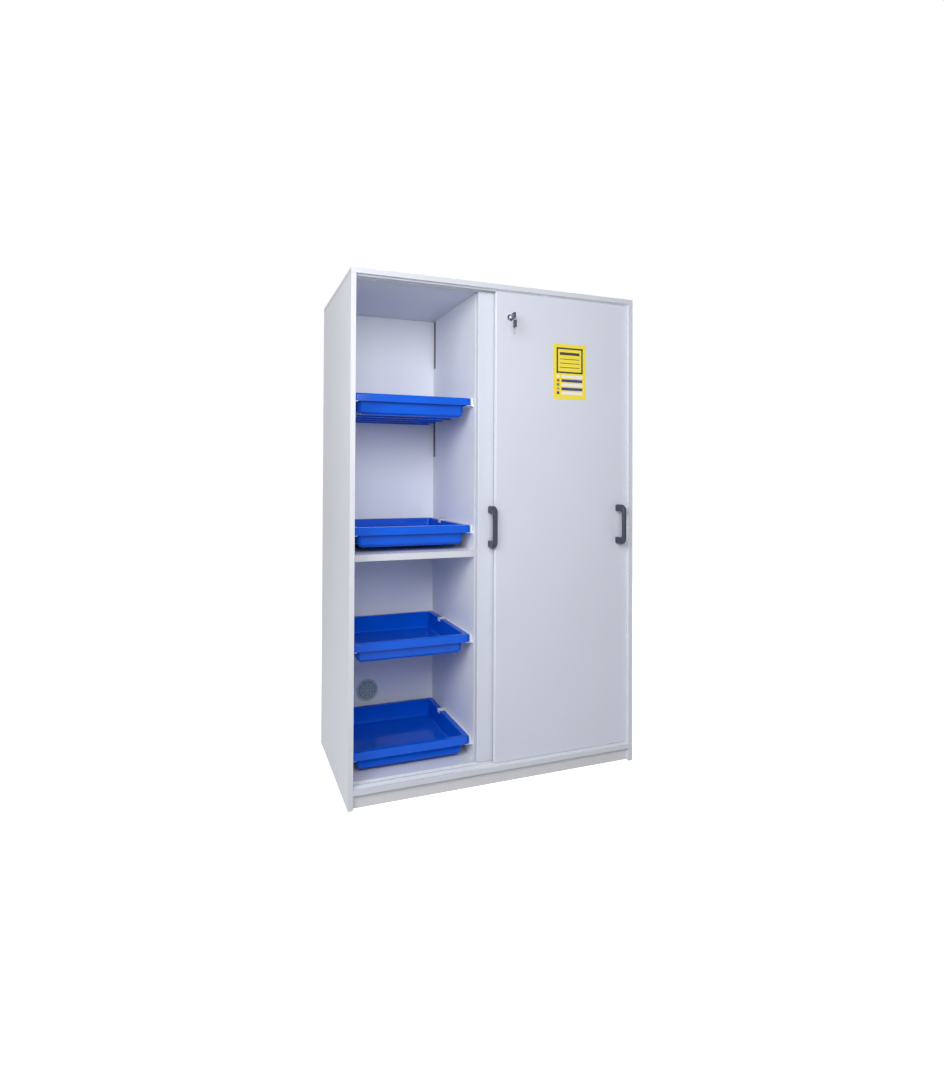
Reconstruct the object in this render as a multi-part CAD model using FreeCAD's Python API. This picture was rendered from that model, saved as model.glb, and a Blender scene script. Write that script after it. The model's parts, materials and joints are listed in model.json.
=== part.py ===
import FreeCAD, Part
import math
import os

os.makedirs("parts", exist_ok=True)

# Lab storage cabinet with two bypassing sliding doors and roller-mounted bottle trays.
# X runs across the cabinet, the front faces -Y, Z is up, and the origin is the centre of the footprint.

# Carcass
cabinet_width = 1200.0
cabinet_depth = 650.0
cabinet_height = 1950.0
side_thickness = 19.0
top_thickness = 19.0
bottom_thickness = 19.0
plinth_height = 52.0
plinth_setback = 18.0
plinth_thickness = 16.0
brace_width = 60.0
back_thickness = 12.0
back_recess = 7.0

# Inner walls and shelves
column_width = 170.0
divider_thickness = 19.0
interior_setback = 90.0
column_front_thickness = 16.0
shelf_thickness = 25.0
shelf_top_height = 901.0
shelf_end_gap = 0.5
shelf_pin_radius = 2.5
shelf_pin_depth = 9.0
shelf_pin_inset = 60.0
shelf_tab_reach = 10.0
shelf_tab_width = 10.0
shelf_tab_height = 6.0

# Air path: slots at the back of the dividers, round grilles in the back panel and an outlet on top
slot_width = 27.0
slot_length = 225.0
slot_gap = 193.0
grille_radius = 50.0
grille_flange_thickness = 4.0
grille_flange_width = 9.0
grille_spigot_radius = 44.0
grille_bar = 3.0
grille_ring_width = 4.5
grille_hub_radius = 6.0
grille_rings = 2
grille_spokes = 8
grille_offset = 184.0
grille_height = 216.0
outlet_radius = 50.0
outlet_wall = 2.0
outlet_rise = 40.0
outlet_flange_width = 12.0
outlet_flange_thickness = 3.0
outlet_back_distance = 110.0

# Tracks under and over the doors
track_base = 1.5
track_rib = 1.5
track_rib_rise = 3.0
track_channel = 9.0
track_margin = 5.0

# Sliding doors
door_thickness = 19.0
door_overlap = 50.0
front_door_setback = 15.0
door_spacing = 11.0
door_side_gap = 1.0
door_bottom_clearance = 2.5
door_top_clearance = 1.5
rear_door_reach = 3.0

# Door rollers and top guides
wheel_radius = 12.0
wheel_width = 7.0
wheel_chamfer = 0.7
wheel_gap = 0.3
wheel_inset = 60.0
wheel_axle_radius = 2.0
wheel_side_gap = 0.5
running_gap = 0.05
housing_length = 60.0
housing_wall = 2.5
housing_roof = 8.0
guide_length = 40.0
guide_thickness = 12.0
guide_height = 15.0
guide_inset = 50.0
guide_pin_radius = 3.5
guide_pin_gap = 0.5

# Bridge handles
handle_length = 165.0
handle_width = 19.0
handle_reach = 59.0
handle_grip = 12.0
handle_foot = 28.0
handle_outer_radius = 26.0
handle_inner_radius = 10.0
handle_edge_radius = 3.5
handle_height = 998.0
front_handle_inset = 46.0
handle_clearance = 1.5
handle_screw_radius = 2.0
handle_screw_head_radius = 4.0
handle_screw_head = 3.0
handle_screw_grip = 15.0

# Push lock with its keys
lock_inset = 60.0
lock_drop = 98.0
lock_flange_rim = 2.0
lock_flange = 2.0
lock_housing_wall = 3.0
lock_barrel_radius = 8.0
lock_barrel_reach = 14.0
lock_core_radius = 5.0
lock_end_wall = 4.0
key_gap = 5.0
key_head_length = 30.0
key_head_width = 24.0
key_head_thickness = 4.0
key_head_radius = 5.0
key_eye_inset = 6.0
key_eye_radius = 4.0
key_blade_length = 28.0
key_blade_width = 7.0
key_blade_thickness = 1.8
key_slot_gap = 0.1
ring_radius = 15.0
ring_wire_radius = 0.75
ring_gap = 0.3
ring_lean_degrees = 53.0
ring_spare_degrees = 50.0

# Label card on the front door
card_width = 153.0
card_height = 226.0
card_thickness = 0.4
card_left = 252.0
card_drop = 185.0

# Trays
tray_slide_gap = 12.5
tray_front_gap = 9.0
tray_back_gap = 38.0
tray_height = 78.0
tray_rim_height = 30.0
tray_rim_overhang = 20.0
tray_wall = 3.0
tray_draft = 6.0
tray_corner_radius = 16.0
tray_rim_edge_radius = 6.0
tray_mouth_radius = 2.0
tray_floor_radius = 8.0
tray_rib_height = 4.0
tray_rib_width = 6.0
tray_rib_count = 5
tray_upper_pitch = 508.0
tray_shelf_clearance = 23.0
tray_lower_drop = 310.0
tray_floor_clearance = 13.0

# Roller slides of the trays
slide_sheet = 1.5
slide_clearance = 1.2
runner_front_gap = 12.0
runner_slot_gap = 2.0
runner_height = 34.0
runner_top_drop = 3.0
runner_lip_start = 26.0
runner_lip_width = 6.0
runner_lip_gap = 1.7
roller_radius = 8.0
roller_chamfer = 0.6
roller_wall_gap = 2.5
roller_side_gap = 2.5
roller_axle_radius = 2.5
roller_axle_end = 0.5
roller_gap = 0.3
front_roller_inset = 10.0
rear_roller_inset = 10.0
carrier_length = 346.0
carrier_wall_gap = 5.0
carrier_ledge = 18.0
hook_inset = 9.0
hook_width = 30.0
hook_drop = 12.0
hook_gap = 0.6
runner_screw_radius = 1.75
runner_screw_depth = 12.0
runner_screw_head_radius = 3.5
runner_screw_head = 1.6
runner_screw_drop = 8.0
runner_screw_front_inset = 60.0
runner_screw_back_inset = 30.0

# How far cutting shapes run past what they cut, and how nearly parallel an edge has to be
overrun = 5.0
parallel_tolerance = 1e-6

# Worked out from the sizes above
front_y = -cabinet_depth / 2
back_y = cabinet_depth / 2
inner_x = cabinet_width / 2 - side_thickness
ceiling_z = cabinet_height - top_thickness
floor_z = plinth_height + bottom_thickness
back_face_y = back_y - back_recess - back_thickness
interior_y = front_y + interior_setback
column_x = column_width / 2
duct_x = column_x - divider_thickness
bay_width = inner_x - column_x
bay_centre_x = (inner_x + column_x) / 2
shelf_bottom_z = shelf_top_height - shelf_thickness
grille_x = inner_x - grille_offset
outlet_y = back_y - outlet_back_distance

door_width = inner_x - door_side_gap + door_overlap / 2
door_bottom_z = floor_z + track_base + track_rib_rise + door_bottom_clearance
door_top_z = ceiling_z - track_base - track_rib_rise - door_top_clearance
front_door_y = front_y + front_door_setback
rear_door_y = front_door_y + door_thickness + door_spacing
front_door_x = inner_x - door_side_gap - door_width
rear_door_x = -column_x - rear_door_reach
front_handle_x = front_door_x + door_width - front_handle_inset
rear_handle_x = front_door_x - handle_clearance - handle_width / 2

track_lane_gap = track_channel / 2 + track_rib
wheel_axle_z = floor_z + track_base + wheel_gap + wheel_radius
housing_thickness = wheel_width + 2 * wheel_side_gap + 2 * housing_wall
housing_roof_z = wheel_axle_z + wheel_radius + housing_wall
housing_top_z = housing_roof_z + housing_roof
guide_pin_top_z = ceiling_z - track_base - guide_pin_gap

lock_x = front_door_x + lock_inset
lock_height = door_top_z - lock_drop
lock_housing_radius = lock_barrel_radius + lock_housing_wall
lock_barrel_y = front_door_y - lock_barrel_reach
lock_end_y = front_door_y + door_thickness
key_head_y = lock_barrel_y - key_gap
key_eye_y = key_head_y - key_head_length + key_eye_inset

tray_front_y = interior_y + tray_front_gap
tray_depth = back_face_y - tray_back_gap - tray_front_y
tray_rim_width = bay_width - 2 * tray_slide_gap
tray_floor_z = tray_rib_height + tray_wall - tray_height
tray_2_rim_height = shelf_top_height + tray_shelf_clearance + tray_height
tray_1_rim_height = tray_2_rim_height + tray_upper_pitch
tray_3_rim_height = shelf_bottom_z - tray_lower_drop
tray_4_rim_height = floor_z + tray_floor_clearance + tray_height
tray_rim_heights = [tray_1_rim_height, tray_2_rim_height, tray_3_rim_height, tray_4_rim_height]

runner_y = interior_y + runner_front_gap
runner_end_y = back_face_y - slot_width - runner_slot_gap
runner_bottom_z = -runner_height
runner_flange = tray_slide_gap - slide_sheet - slide_clearance
roller_width = tray_slide_gap - slide_sheet - roller_wall_gap - roller_side_gap
carrier_y = tray_front_y
carrier_end_y = carrier_y + carrier_length
front_roller_y = runner_y + front_roller_inset
rear_roller_y = carrier_end_y - rear_roller_inset
rear_roller_z = runner_bottom_z + slide_sheet + roller_gap + roller_radius
front_roller_z = -slide_sheet - roller_gap - roller_radius


def vec(x, y, z):
    return FreeCAD.Vector(x, y, z)


def block(x0, x1, y0, y1, z0, z1):
    return Part.makeBox(x1 - x0, y1 - y0, z1 - z0, vec(x0, y0, z0))


def rod(axis, start, radius, length):
    return Part.makeCylinder(radius, length, start, axis)


def x_rod(x0, x1, y, z, radius):
    return rod(vec(1, 0, 0), vec(x0, y, z), radius, x1 - x0)


def y_rod(y0, y1, x, z, radius):
    return rod(vec(0, 1, 0), vec(x, y0, z), radius, y1 - y0)


def z_rod(z0, z1, x, y, radius):
    return rod(vec(0, 0, 1), vec(x, y, z0), radius, z1 - z0)


def edges_along(shape, axis):
    found = []
    for edge in shape.Edges:
        run = edge.Vertexes[-1].Point.sub(edge.Vertexes[0].Point)
        if run.Length > 0 and run.normalize().cross(axis).Length < parallel_tolerance:
            found.append(edge)
    return found


def mirrored(shape):
    return shape.mirror(vec(0, 0, 0), vec(1, 0, 0))


def moved(shape, x, y, z):
    copy = shape.copy()
    copy.translate(vec(x, y, z))
    return copy


def joined(solids):
    shape = solids[0].fuse(solids[1:])
    return shape.removeSplitter()


def save(node, *solids):
    shape = solids[0] if len(solids) == 1 else Part.makeCompound(list(solids))
    shape.exportStep("parts/" + node + ".step")


def both_sides(shape):
    return [mirrored(shape), shape]


def rounded_outline(x0, x1, y0, y1, z, radius):
    corner = radius * (1 - math.sqrt(0.5))
    marks = [
        (x0, y0 + radius, x0 + corner, y0 + corner, x0 + radius, y0),
        (x1 - radius, y0, x1 - corner, y0 + corner, x1, y0 + radius),
        (x1, y1 - radius, x1 - corner, y1 - corner, x1 - radius, y1),
        (x0 + radius, y1, x0 + corner, y1 - corner, x0, y1 - radius),
    ]
    edges = []
    for index, mark in enumerate(marks):
        ax, ay, mx, my, bx, by = mark
        after = marks[(index + 1) % len(marks)]
        edges.append(Part.Arc(vec(ax, ay, z), vec(mx, my, z), vec(bx, by, z)).toShape())
        edges.append(Part.LineSegment(vec(bx, by, z), vec(after[0], after[1], z)).toShape())
    return Part.Wire(edges)


def prism(x0, x1, y0, y1, z0, z1, radius):
    foot = Part.Face(rounded_outline(x0, x1, y0, y1, z0, radius))
    return foot.extrude(vec(0, 0, z1 - z0))


def side_panel():
    return block(inner_x, inner_x + side_thickness, front_y, back_y, 0, ceiling_z)


def top_panel():
    half = cabinet_width / 2
    board = block(-half, half, front_y, back_y, ceiling_z, cabinet_height)
    hole = z_rod(ceiling_z - overrun, cabinet_height + overrun, 0, outlet_y, outlet_radius)
    return board.cut(hole)


def bottom_panel():
    return block(-inner_x, inner_x, front_y, back_face_y, plinth_height, floor_z)


def back_panel():
    board = block(-inner_x, inner_x, back_face_y, back_face_y + back_thickness, plinth_height, ceiling_z)
    holes = [
        y_rod(back_face_y - overrun, back_y, side * grille_x, grille_height, grille_spigot_radius)
        for side in (-1, 1)
    ]
    return board.cut(holes)


def divider():
    board = block(duct_x, column_x, interior_y, back_face_y, floor_z, ceiling_z)
    low = ceiling_z - slot_length
    slots = []
    for z in (low, low - slot_gap - slot_length):
        slots.append(block(duct_x - overrun, column_x + overrun, back_face_y - slot_width,
                           back_face_y + overrun, z, z + slot_length))
    return board.cut(slots)


def column_front():
    return block(-duct_x, duct_x, interior_y, interior_y + column_front_thickness, floor_z, ceiling_z)


def plinth_boards():
    front = front_y + plinth_setback
    back = back_face_y - plinth_thickness
    return [block(-inner_x, inner_x, y, y + plinth_thickness, 0, plinth_height) for y in (front, back)]


def plinth_brace():
    half = brace_width / 2
    y = front_y + plinth_setback + plinth_thickness
    return block(-half, half, y, back_face_y - plinth_thickness, 0, plinth_height)


def shelf():
    return block(column_x + shelf_end_gap, inner_x - shelf_end_gap, interior_y, back_face_y - shelf_end_gap,
                 shelf_bottom_z, shelf_top_height)


def shelf_pin_places():
    low = interior_y + shelf_pin_inset
    high = back_face_y - shelf_pin_inset
    z = shelf_bottom_z - shelf_tab_height / 2
    return [(y, z) for y in (low, high)]


def shelf_pins():
    pins = []
    for y, z in shelf_pin_places():
        for start, tab in ((column_x - shelf_pin_depth, column_x), (inner_x, inner_x - shelf_tab_reach)):
            pin = x_rod(start, start + shelf_pin_depth, y, z, shelf_pin_radius)
            plate = block(tab, tab + shelf_tab_reach, y - shelf_tab_width / 2, y + shelf_tab_width / 2,
                          z - shelf_tab_height / 2, shelf_bottom_z)
            pins += both_sides(joined([pin, plate]))
    return pins


def shelf_pin_holes():
    holes = []
    for y, z in shelf_pin_places():
        holes.append(x_rod(column_x - shelf_pin_depth, column_x, y, z, shelf_pin_radius))
        holes.append(x_rod(inner_x, inner_x + shelf_pin_depth, y, z, shelf_pin_radius))
    return holes


def lane_centres():
    return [y + door_thickness / 2 for y in (front_door_y, rear_door_y)]


def bottom_track():
    lanes = lane_centres()
    y0 = lanes[0] - track_lane_gap - track_margin
    y1 = lanes[1] + track_lane_gap + track_margin
    top = floor_z + track_base + track_rib_rise
    parts = [block(-inner_x, inner_x, y0, y1, floor_z, floor_z + track_base)]
    for lane in lanes:
        for y in (lane - track_lane_gap, lane + track_channel / 2):
            parts.append(block(-inner_x, inner_x, y, y + track_rib, floor_z, top))
    return joined(parts)


def top_track():
    track = bottom_track()
    centre = (floor_z + ceiling_z) / 2
    return track.mirror(vec(0, 0, centre), vec(0, 0, 1))


def grille():
    x = grille_x
    y = back_face_y
    z = grille_height
    inner = grille_radius - grille_flange_width
    bars_y = y - grille_flange_thickness + grille_bar
    flange = y_rod(y - grille_flange_thickness, y, x, z, grille_radius)
    spigot = y_rod(y - grille_flange_thickness, y + back_thickness, x, z, grille_spigot_radius)
    bore = y_rod(y - grille_flange_thickness - overrun, back_y, x, z, inner)
    parts = [flange.fuse(spigot).cut(bore)]
    parts.append(y_rod(bars_y - grille_bar, bars_y, x, z, grille_hub_radius))
    pitch = (inner - grille_hub_radius) / (grille_rings + 1)
    for index in range(grille_rings):
        middle = grille_hub_radius + pitch * (index + 1)
        outer = y_rod(bars_y - grille_bar, bars_y, x, z, middle + grille_ring_width / 2)
        hole = y_rod(bars_y - overrun, bars_y + overrun, x, z, middle - grille_ring_width / 2)
        parts.append(outer.cut(hole))
    for index in range(grille_spokes):
        spoke = block(x, x + inner + grille_flange_width / 2, bars_y - grille_bar, bars_y,
                      z - grille_bar / 2, z + grille_bar / 2)
        spoke.rotate(vec(x, y, z), vec(0, 1, 0), 360.0 * index / grille_spokes)
        parts.append(spoke)
    return joined(parts)


def exhaust_collar():
    top = cabinet_height + outlet_rise
    flange_top = cabinet_height + outlet_flange_thickness
    flange = z_rod(cabinet_height, flange_top, 0, outlet_y, outlet_radius + outlet_flange_width)
    tube = z_rod(ceiling_z, top, 0, outlet_y, outlet_radius)
    bore = z_rod(ceiling_z - overrun, top + overrun, 0, outlet_y, outlet_radius - outlet_wall)
    return flange.fuse(tube).cut(bore).removeSplitter()


def housing_places(door_x):
    return [door_x + wheel_inset, door_x + door_width - wheel_inset]


def guide_places(door_x):
    return [door_x + guide_inset, door_x + door_width - guide_inset]


def handle_screw_heights():
    reach = (handle_length - handle_foot) / 2
    return [handle_height - reach, handle_height + reach]


def housing_block(x, door_y, bottom, top):
    middle = door_y + door_thickness / 2
    half = housing_thickness / 2
    return block(x - housing_length / 2, x + housing_length / 2, middle - half, middle + half, bottom, top)


def guide_block(x, door_y, bottom, top):
    middle = door_y + door_thickness / 2
    half = guide_thickness / 2
    return block(x - guide_length / 2, x + guide_length / 2, middle - half, middle + half, bottom, top)


def door_panel(door_x, door_y, handle_x):
    board = block(door_x, door_x + door_width, door_y, door_y + door_thickness, door_bottom_z, door_top_z)
    cuts = handle_screws(door_y, handle_x)
    for x in housing_places(door_x):
        cuts.append(housing_block(x, door_y, door_bottom_z - overrun, housing_top_z))
    for x in guide_places(door_x):
        cuts.append(guide_block(x, door_y, door_top_z - guide_height, door_top_z + overrun))
    return board.cut(cuts)


def roller_housings(door_x, door_y):
    middle = door_y + door_thickness / 2
    slot = wheel_width / 2 + wheel_side_gap
    room = wheel_radius + housing_wall
    housings = []
    for x in housing_places(door_x):
        body = housing_block(x, door_y, door_bottom_z, housing_top_z)
        pocket = block(x - room, x + room, middle - slot, middle + slot, door_bottom_z - overrun,
                       housing_roof_z)
        axle = y_rod(middle - slot, middle + slot, x, wheel_axle_z, wheel_axle_radius)
        housings.append(joined([body.cut(pocket), axle]))
    return housings


def wheel(x, door_y):
    middle = door_y + door_thickness / 2
    y0 = middle - wheel_width / 2
    disc = y_rod(y0, y0 + wheel_width, x, wheel_axle_z, wheel_radius)
    rims = [edge for edge in disc.Edges if edge.Curve.TypeId == "Part::GeomCircle"]
    tyre = disc.makeChamfer(wheel_chamfer, rims)
    return tyre.cut(y_rod(y0 - overrun, y0 + wheel_width + overrun, x, wheel_axle_z,
                          wheel_axle_radius + running_gap))


def top_guides(door_x, door_y):
    middle = door_y + door_thickness / 2
    guides = []
    for x in guide_places(door_x):
        body = guide_block(x, door_y, door_top_z - guide_height, door_top_z)
        pin = z_rod(door_top_z - guide_height / 2, guide_pin_top_z, x, middle, guide_pin_radius)
        guides.append(joined([body, pin]))
    return guides


def handle(door_y, x):
    half = handle_length / 2
    outer = block(x - handle_width / 2, x + handle_width / 2, door_y - handle_reach, door_y,
                  handle_height - half, handle_height + half)
    half_way = door_y - handle_reach / 2
    corners = [edge for edge in edges_along(outer, vec(1, 0, 0)) if edge.BoundBox.YMax < half_way]
    bow = outer.makeFillet(handle_outer_radius, corners)
    gap = half - handle_foot
    window = block(x - handle_width, x + handle_width, door_y - handle_reach + handle_grip, door_y + overrun,
                   handle_height - gap, handle_height + gap)
    inner = [edge for edge in edges_along(window, vec(1, 0, 0)) if edge.BoundBox.YMax < door_y]
    bow = bow.cut(window.makeFillet(handle_inner_radius, inner))
    sides = []
    for edge in bow.Edges:
        box = edge.BoundBox
        flat = box.XMax - box.XMin < running_gap
        clear = box.YMax < door_y - handle_edge_radius or box.YMax - box.YMin > handle_edge_radius
        if flat and clear:
            sides.append(edge)
    bow = bow.makeFillet(handle_edge_radius, sides)
    bores = [y_rod(door_y - handle_screw_grip, door_y + overrun, x, z, handle_screw_radius)
             for z in handle_screw_heights()]
    return bow.cut(bores)


def handle_screws(door_y, x):
    back = door_y + door_thickness
    screws = []
    for z in handle_screw_heights():
        shaft = y_rod(door_y - handle_screw_grip, back, x, z, handle_screw_radius)
        head = Part.makeCone(handle_screw_radius, handle_screw_head_radius, handle_screw_head,
                             vec(x, back - handle_screw_head, z), vec(0, 1, 0))
        screws.append(joined([shaft, head]))
    return screws


def lock_housing():
    flange_radius = lock_housing_radius + lock_flange_rim
    flange = y_rod(front_door_y - lock_flange, front_door_y, lock_x, lock_height, flange_radius)
    tube = y_rod(front_door_y, lock_end_y, lock_x, lock_height, lock_housing_radius)
    bore = y_rod(front_door_y - overrun, lock_end_y + overrun, lock_x, lock_height,
                 lock_barrel_radius + running_gap)
    return flange.fuse(tube).cut(bore).removeSplitter()


def lock_barrel():
    barrel = y_rod(lock_barrel_y, lock_end_y, lock_x, lock_height, lock_barrel_radius)
    bore = y_rod(lock_barrel_y - overrun, lock_end_y - lock_end_wall, lock_x, lock_height,
                 lock_core_radius + running_gap)
    return barrel.cut(bore)


def blade_tip_y():
    return key_head_y + key_blade_length


def lock_core():
    core_end = lock_end_y - lock_end_wall - running_gap
    core = y_rod(lock_barrel_y, core_end, lock_x, lock_height, lock_core_radius)
    half_x = key_blade_thickness / 2 + key_slot_gap
    half_z = key_blade_width / 2 + key_slot_gap
    slot = block(lock_x - half_x, lock_x + half_x, lock_barrel_y - overrun, blade_tip_y() + key_slot_gap,
                 lock_height - half_z, lock_height + half_z)
    return core.cut(slot)


def key_shape():
    # Blade along +Y, head along -Y, the eye near the head's free end, with the blade's root at the origin.
    half = key_head_width / 2
    thick = key_head_thickness / 2
    head = block(-thick, thick, -key_head_length, 0, -half, half)
    head = head.makeFillet(key_head_radius, edges_along(head, vec(1, 0, 0)))
    eye = x_rod(-thick - overrun, thick + overrun, key_eye_inset - key_head_length, 0, key_eye_radius)
    half_blade = key_blade_width / 2
    blade = block(-key_blade_thickness / 2, key_blade_thickness / 2, -key_head_radius, key_blade_length,
                  -half_blade, half_blade)
    tip = edges_along(blade, vec(1, 0, 0))
    blade = blade.makeChamfer(key_blade_thickness, [edge for edge in tip if edge.BoundBox.YMax > 0])
    return joined([head.cut(eye), blade])


def eye_slack(degrees):
    # How far the ring's wire sits off the middle of a key's eye when it hangs near the end of the eye.
    turn = math.radians(degrees)
    reach = math.cos(turn) + key_head_thickness / 2 / ring_radius
    rise = math.sqrt(1 - reach ** 2)
    climb = ring_radius * (math.sin(turn) - rise)
    return key_eye_radius - climb - ring_wire_radius / rise - ring_gap


def ring_centre():
    lean = math.radians(ring_lean_degrees)
    drop = eye_slack(ring_lean_degrees) + ring_radius * math.sin(lean)
    return vec(lock_x - ring_radius * math.cos(lean), key_eye_y, lock_height - drop)


def key_ring():
    return Part.makeTorus(ring_radius, ring_wire_radius, ring_centre(), vec(0, 1, 0))


def spare_key():
    turn = math.radians(ring_spare_degrees)
    centre = ring_centre()
    x = centre.x + ring_radius * math.cos(turn)
    z = centre.z - ring_radius * math.sin(turn) - eye_slack(ring_spare_degrees)
    key = key_shape()
    key.rotate(vec(0, 0, 0), vec(1, 0, 0), -90)
    return moved(key, x, key_eye_y, z - key_head_length + key_eye_inset)


def label_card():
    x = front_door_x + card_left
    top = door_top_z - card_drop
    return block(x, x + card_width, front_door_y - card_thickness, front_door_y, top - card_height, top)


def edges_above(shape, z):
    return [edge for edge in shape.Edges if edge.BoundBox.ZMin > z]


def edges_below(shape, z):
    return [edge for edge in shape.Edges if edge.BoundBox.ZMax < z]


def tray():
    # Rim top at z = 0, front of the rim at y = 0, centred on x = 0.
    half = tray_rim_width / 2
    wall = tray_wall
    rim = prism(-half, half, 0, tray_depth, -tray_rim_height, 0, tray_corner_radius)
    rim = rim.makeFillet(tray_rim_edge_radius, edges_above(rim, -running_gap))
    room = prism(wall - half, half - wall, wall, tray_depth - wall, -tray_rim_height - overrun, -wall,
                 tray_corner_radius - wall)
    room = room.makeFillet(tray_rim_edge_radius - wall, edges_above(room, -wall - running_gap))
    foot = tray_rib_height - tray_height
    body = drafted(tray_rim_overhang, tray_corner_radius, -wall / 2, foot)
    body = body.makeFillet(tray_floor_radius + wall, edges_below(body, foot + running_gap))
    inside = drafted(tray_rim_overhang + wall, tray_corner_radius - wall, overrun, tray_floor_z)
    inside = inside.makeFillet(tray_floor_radius, edges_below(inside, tray_floor_z + running_gap))
    shell = rim.cut(room).fuse(body).cut(inside)
    shell = shell.makeFillet(tray_mouth_radius, mouth_edges(shell))
    return joined([shell] + tray_ribs())


def mouth_edges(shell):
    reach = tray_rim_width / 2 - tray_rim_overhang
    back = tray_depth - tray_rim_overhang
    found = []
    for edge in edges_above(shell, -running_gap):
        box = edge.BoundBox
        if box.XMin > -reach and box.XMax < reach and box.YMin > tray_rim_overhang and box.YMax < back:
            found.append(edge)
    return found


def tray_lean(z):
    return -tray_draft * z / tray_height


def drafted(inset, radius, top, bottom):
    outlines = []
    for z in (top, bottom):
        step = inset + tray_lean(z)
        half = tray_rim_width / 2 - step
        outlines.append(rounded_outline(-half, half, step, tray_depth - step, z, radius))
    return Part.makeLoft(outlines, True, True)


def tray_ribs():
    step = tray_rim_overhang + tray_lean(-tray_height) + tray_floor_radius + tray_wall
    half = tray_rim_width / 2 - step
    pitch = (tray_depth - 2 * step - tray_rib_width) / (tray_rib_count - 1)
    ribs = []
    for index in range(tray_rib_count):
        y = step + pitch * index
        ribs.append(block(-half, half, y, y + tray_rib_width, -tray_height, tray_floor_z - tray_wall / 2))
    return ribs


def runner_screw_places():
    first = runner_y + runner_screw_front_inset
    last = runner_end_y - runner_screw_back_inset
    return [first, (first + last) / 2, last]


def runner():
    # Wall face at x = 0 with the tray towards +X, z measured from the tray's rim top.
    lip_z = rear_roller_z + roller_radius + runner_lip_gap
    lip_y = runner_y + runner_lip_start
    axle_end = roller_wall_gap + roller_width + roller_axle_end
    web = block(0, slide_sheet, runner_y, runner_end_y, runner_bottom_z, -runner_top_drop)
    flange = block(0, runner_flange, runner_y, runner_end_y, runner_bottom_z, runner_bottom_z + slide_sheet)
    lip = block(0, runner_lip_width, lip_y, runner_end_y, lip_z, lip_z + slide_sheet)
    stop = block(0, runner_flange, runner_y, runner_y + slide_sheet, runner_bottom_z, rear_roller_z)
    axle = x_rod(0, axle_end, front_roller_y, front_roller_z, roller_axle_radius)
    bores = [x_rod(-overrun, overrun, y, -runner_screw_drop, runner_screw_radius)
             for y in runner_screw_places()]
    return joined([web, flange, lip, stop, axle]).cut(bores)


def runner_screw_set():
    screws = []
    head_end = slide_sheet + runner_screw_head
    for y in runner_screw_places():
        shaft = x_rod(-runner_screw_depth, slide_sheet, y, -runner_screw_drop, runner_screw_radius)
        head = x_rod(slide_sheet, head_end, y, -runner_screw_drop, runner_screw_head_radius)
        screws.append(joined([shaft, head]))
    return screws


def carrier():
    # Same axes as the runner: a sheet angle that holds the rim from below and hooks over it at the back.
    side = tray_slide_gap
    web_x = side - slide_sheet
    foot = -tray_rim_height
    web = block(web_x, side, carrier_y, carrier_end_y, foot - slide_sheet, 0)
    flange = block(carrier_wall_gap, side, carrier_y, carrier_end_y, -slide_sheet, 0)
    ledge = block(web_x, side + carrier_ledge, carrier_y, carrier_end_y, foot - slide_sheet, foot)
    nose = block(carrier_wall_gap, side, carrier_y, carrier_y + slide_sheet, foot, 0)
    axle = x_rod(roller_wall_gap - roller_axle_end, side, rear_roller_y, rear_roller_z, roller_axle_radius)
    return joined([web, flange, ledge, nose, axle] + carrier_hook())


def carrier_hook():
    web_x = tray_slide_gap - slide_sheet
    tip_x = tray_slide_gap + tray_rim_overhang + tray_wall + tray_lean(-hook_drop) + hook_gap
    end = carrier_end_y - hook_inset
    y = end - hook_width
    strap = block(web_x, tip_x + slide_sheet, y, end, 0, slide_sheet)
    post = block(web_x, tray_slide_gap, y, end, -slide_sheet, slide_sheet)
    tip = block(tip_x, tip_x + slide_sheet, y, end, -hook_drop, slide_sheet)
    return [strap, post, tip]


def roller(y, z):
    disc = x_rod(roller_wall_gap, roller_wall_gap + roller_width, y, z, roller_radius)
    rims = [edge for edge in disc.Edges if edge.Curve.TypeId == "Part::GeomCircle"]
    tyre = disc.makeChamfer(roller_chamfer, rims)
    return tyre.cut(x_rod(0, tray_slide_gap, y, z, roller_axle_radius + running_gap))


def in_left_bay(shape, height):
    # One copy on the cabinet's left side panel and its mirror image on the left divider.
    return [moved(shape, -inner_x, 0, height), moved(mirrored(shape), -column_x, 0, height)]


def in_right_bay(shape, height):
    return [moved(shape, column_x, 0, height), moved(mirrored(shape), inner_x, 0, height)]


def build_carcass():
    screws = []
    for height in tray_rim_heights:
        for screw in runner_screw_set():
            screws += in_left_bay(screw, height) + in_right_bay(screw, height)
    holes = Part.makeCompound(screws)
    right_panel = side_panel()
    left_panel = mirrored(right_panel)
    right_wall = divider()
    left_wall = mirrored(right_wall)
    pin_holes = shelf_pin_holes()
    left_holes = [mirrored(hole) for hole in pin_holes]
    save("left_side_panel", left_panel.cut(left_holes + [holes]))
    save("right_side_panel", right_panel.cut(pin_holes + [holes]))
    save("left_divider", left_wall.cut(left_holes + [holes]))
    save("right_divider", right_wall.cut(pin_holes + [holes]))
    save("top_panel", top_panel())
    save("bottom_panel", bottom_panel())
    save("back_panel", back_panel())
    save("column_front_panel", column_front())
    save("plinth_boards", *plinth_boards())
    save("plinth_brace", plinth_brace())
    save("left_shelf", mirrored(shelf()))
    save("right_shelf", shelf())
    save("shelf_pins", *shelf_pins())
    save("top_track", top_track())
    save("bottom_track", bottom_track())
    save("vent_grilles", *both_sides(grille()))
    save("exhaust_collar", exhaust_collar())
    save("runner_screws", *screws)


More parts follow.
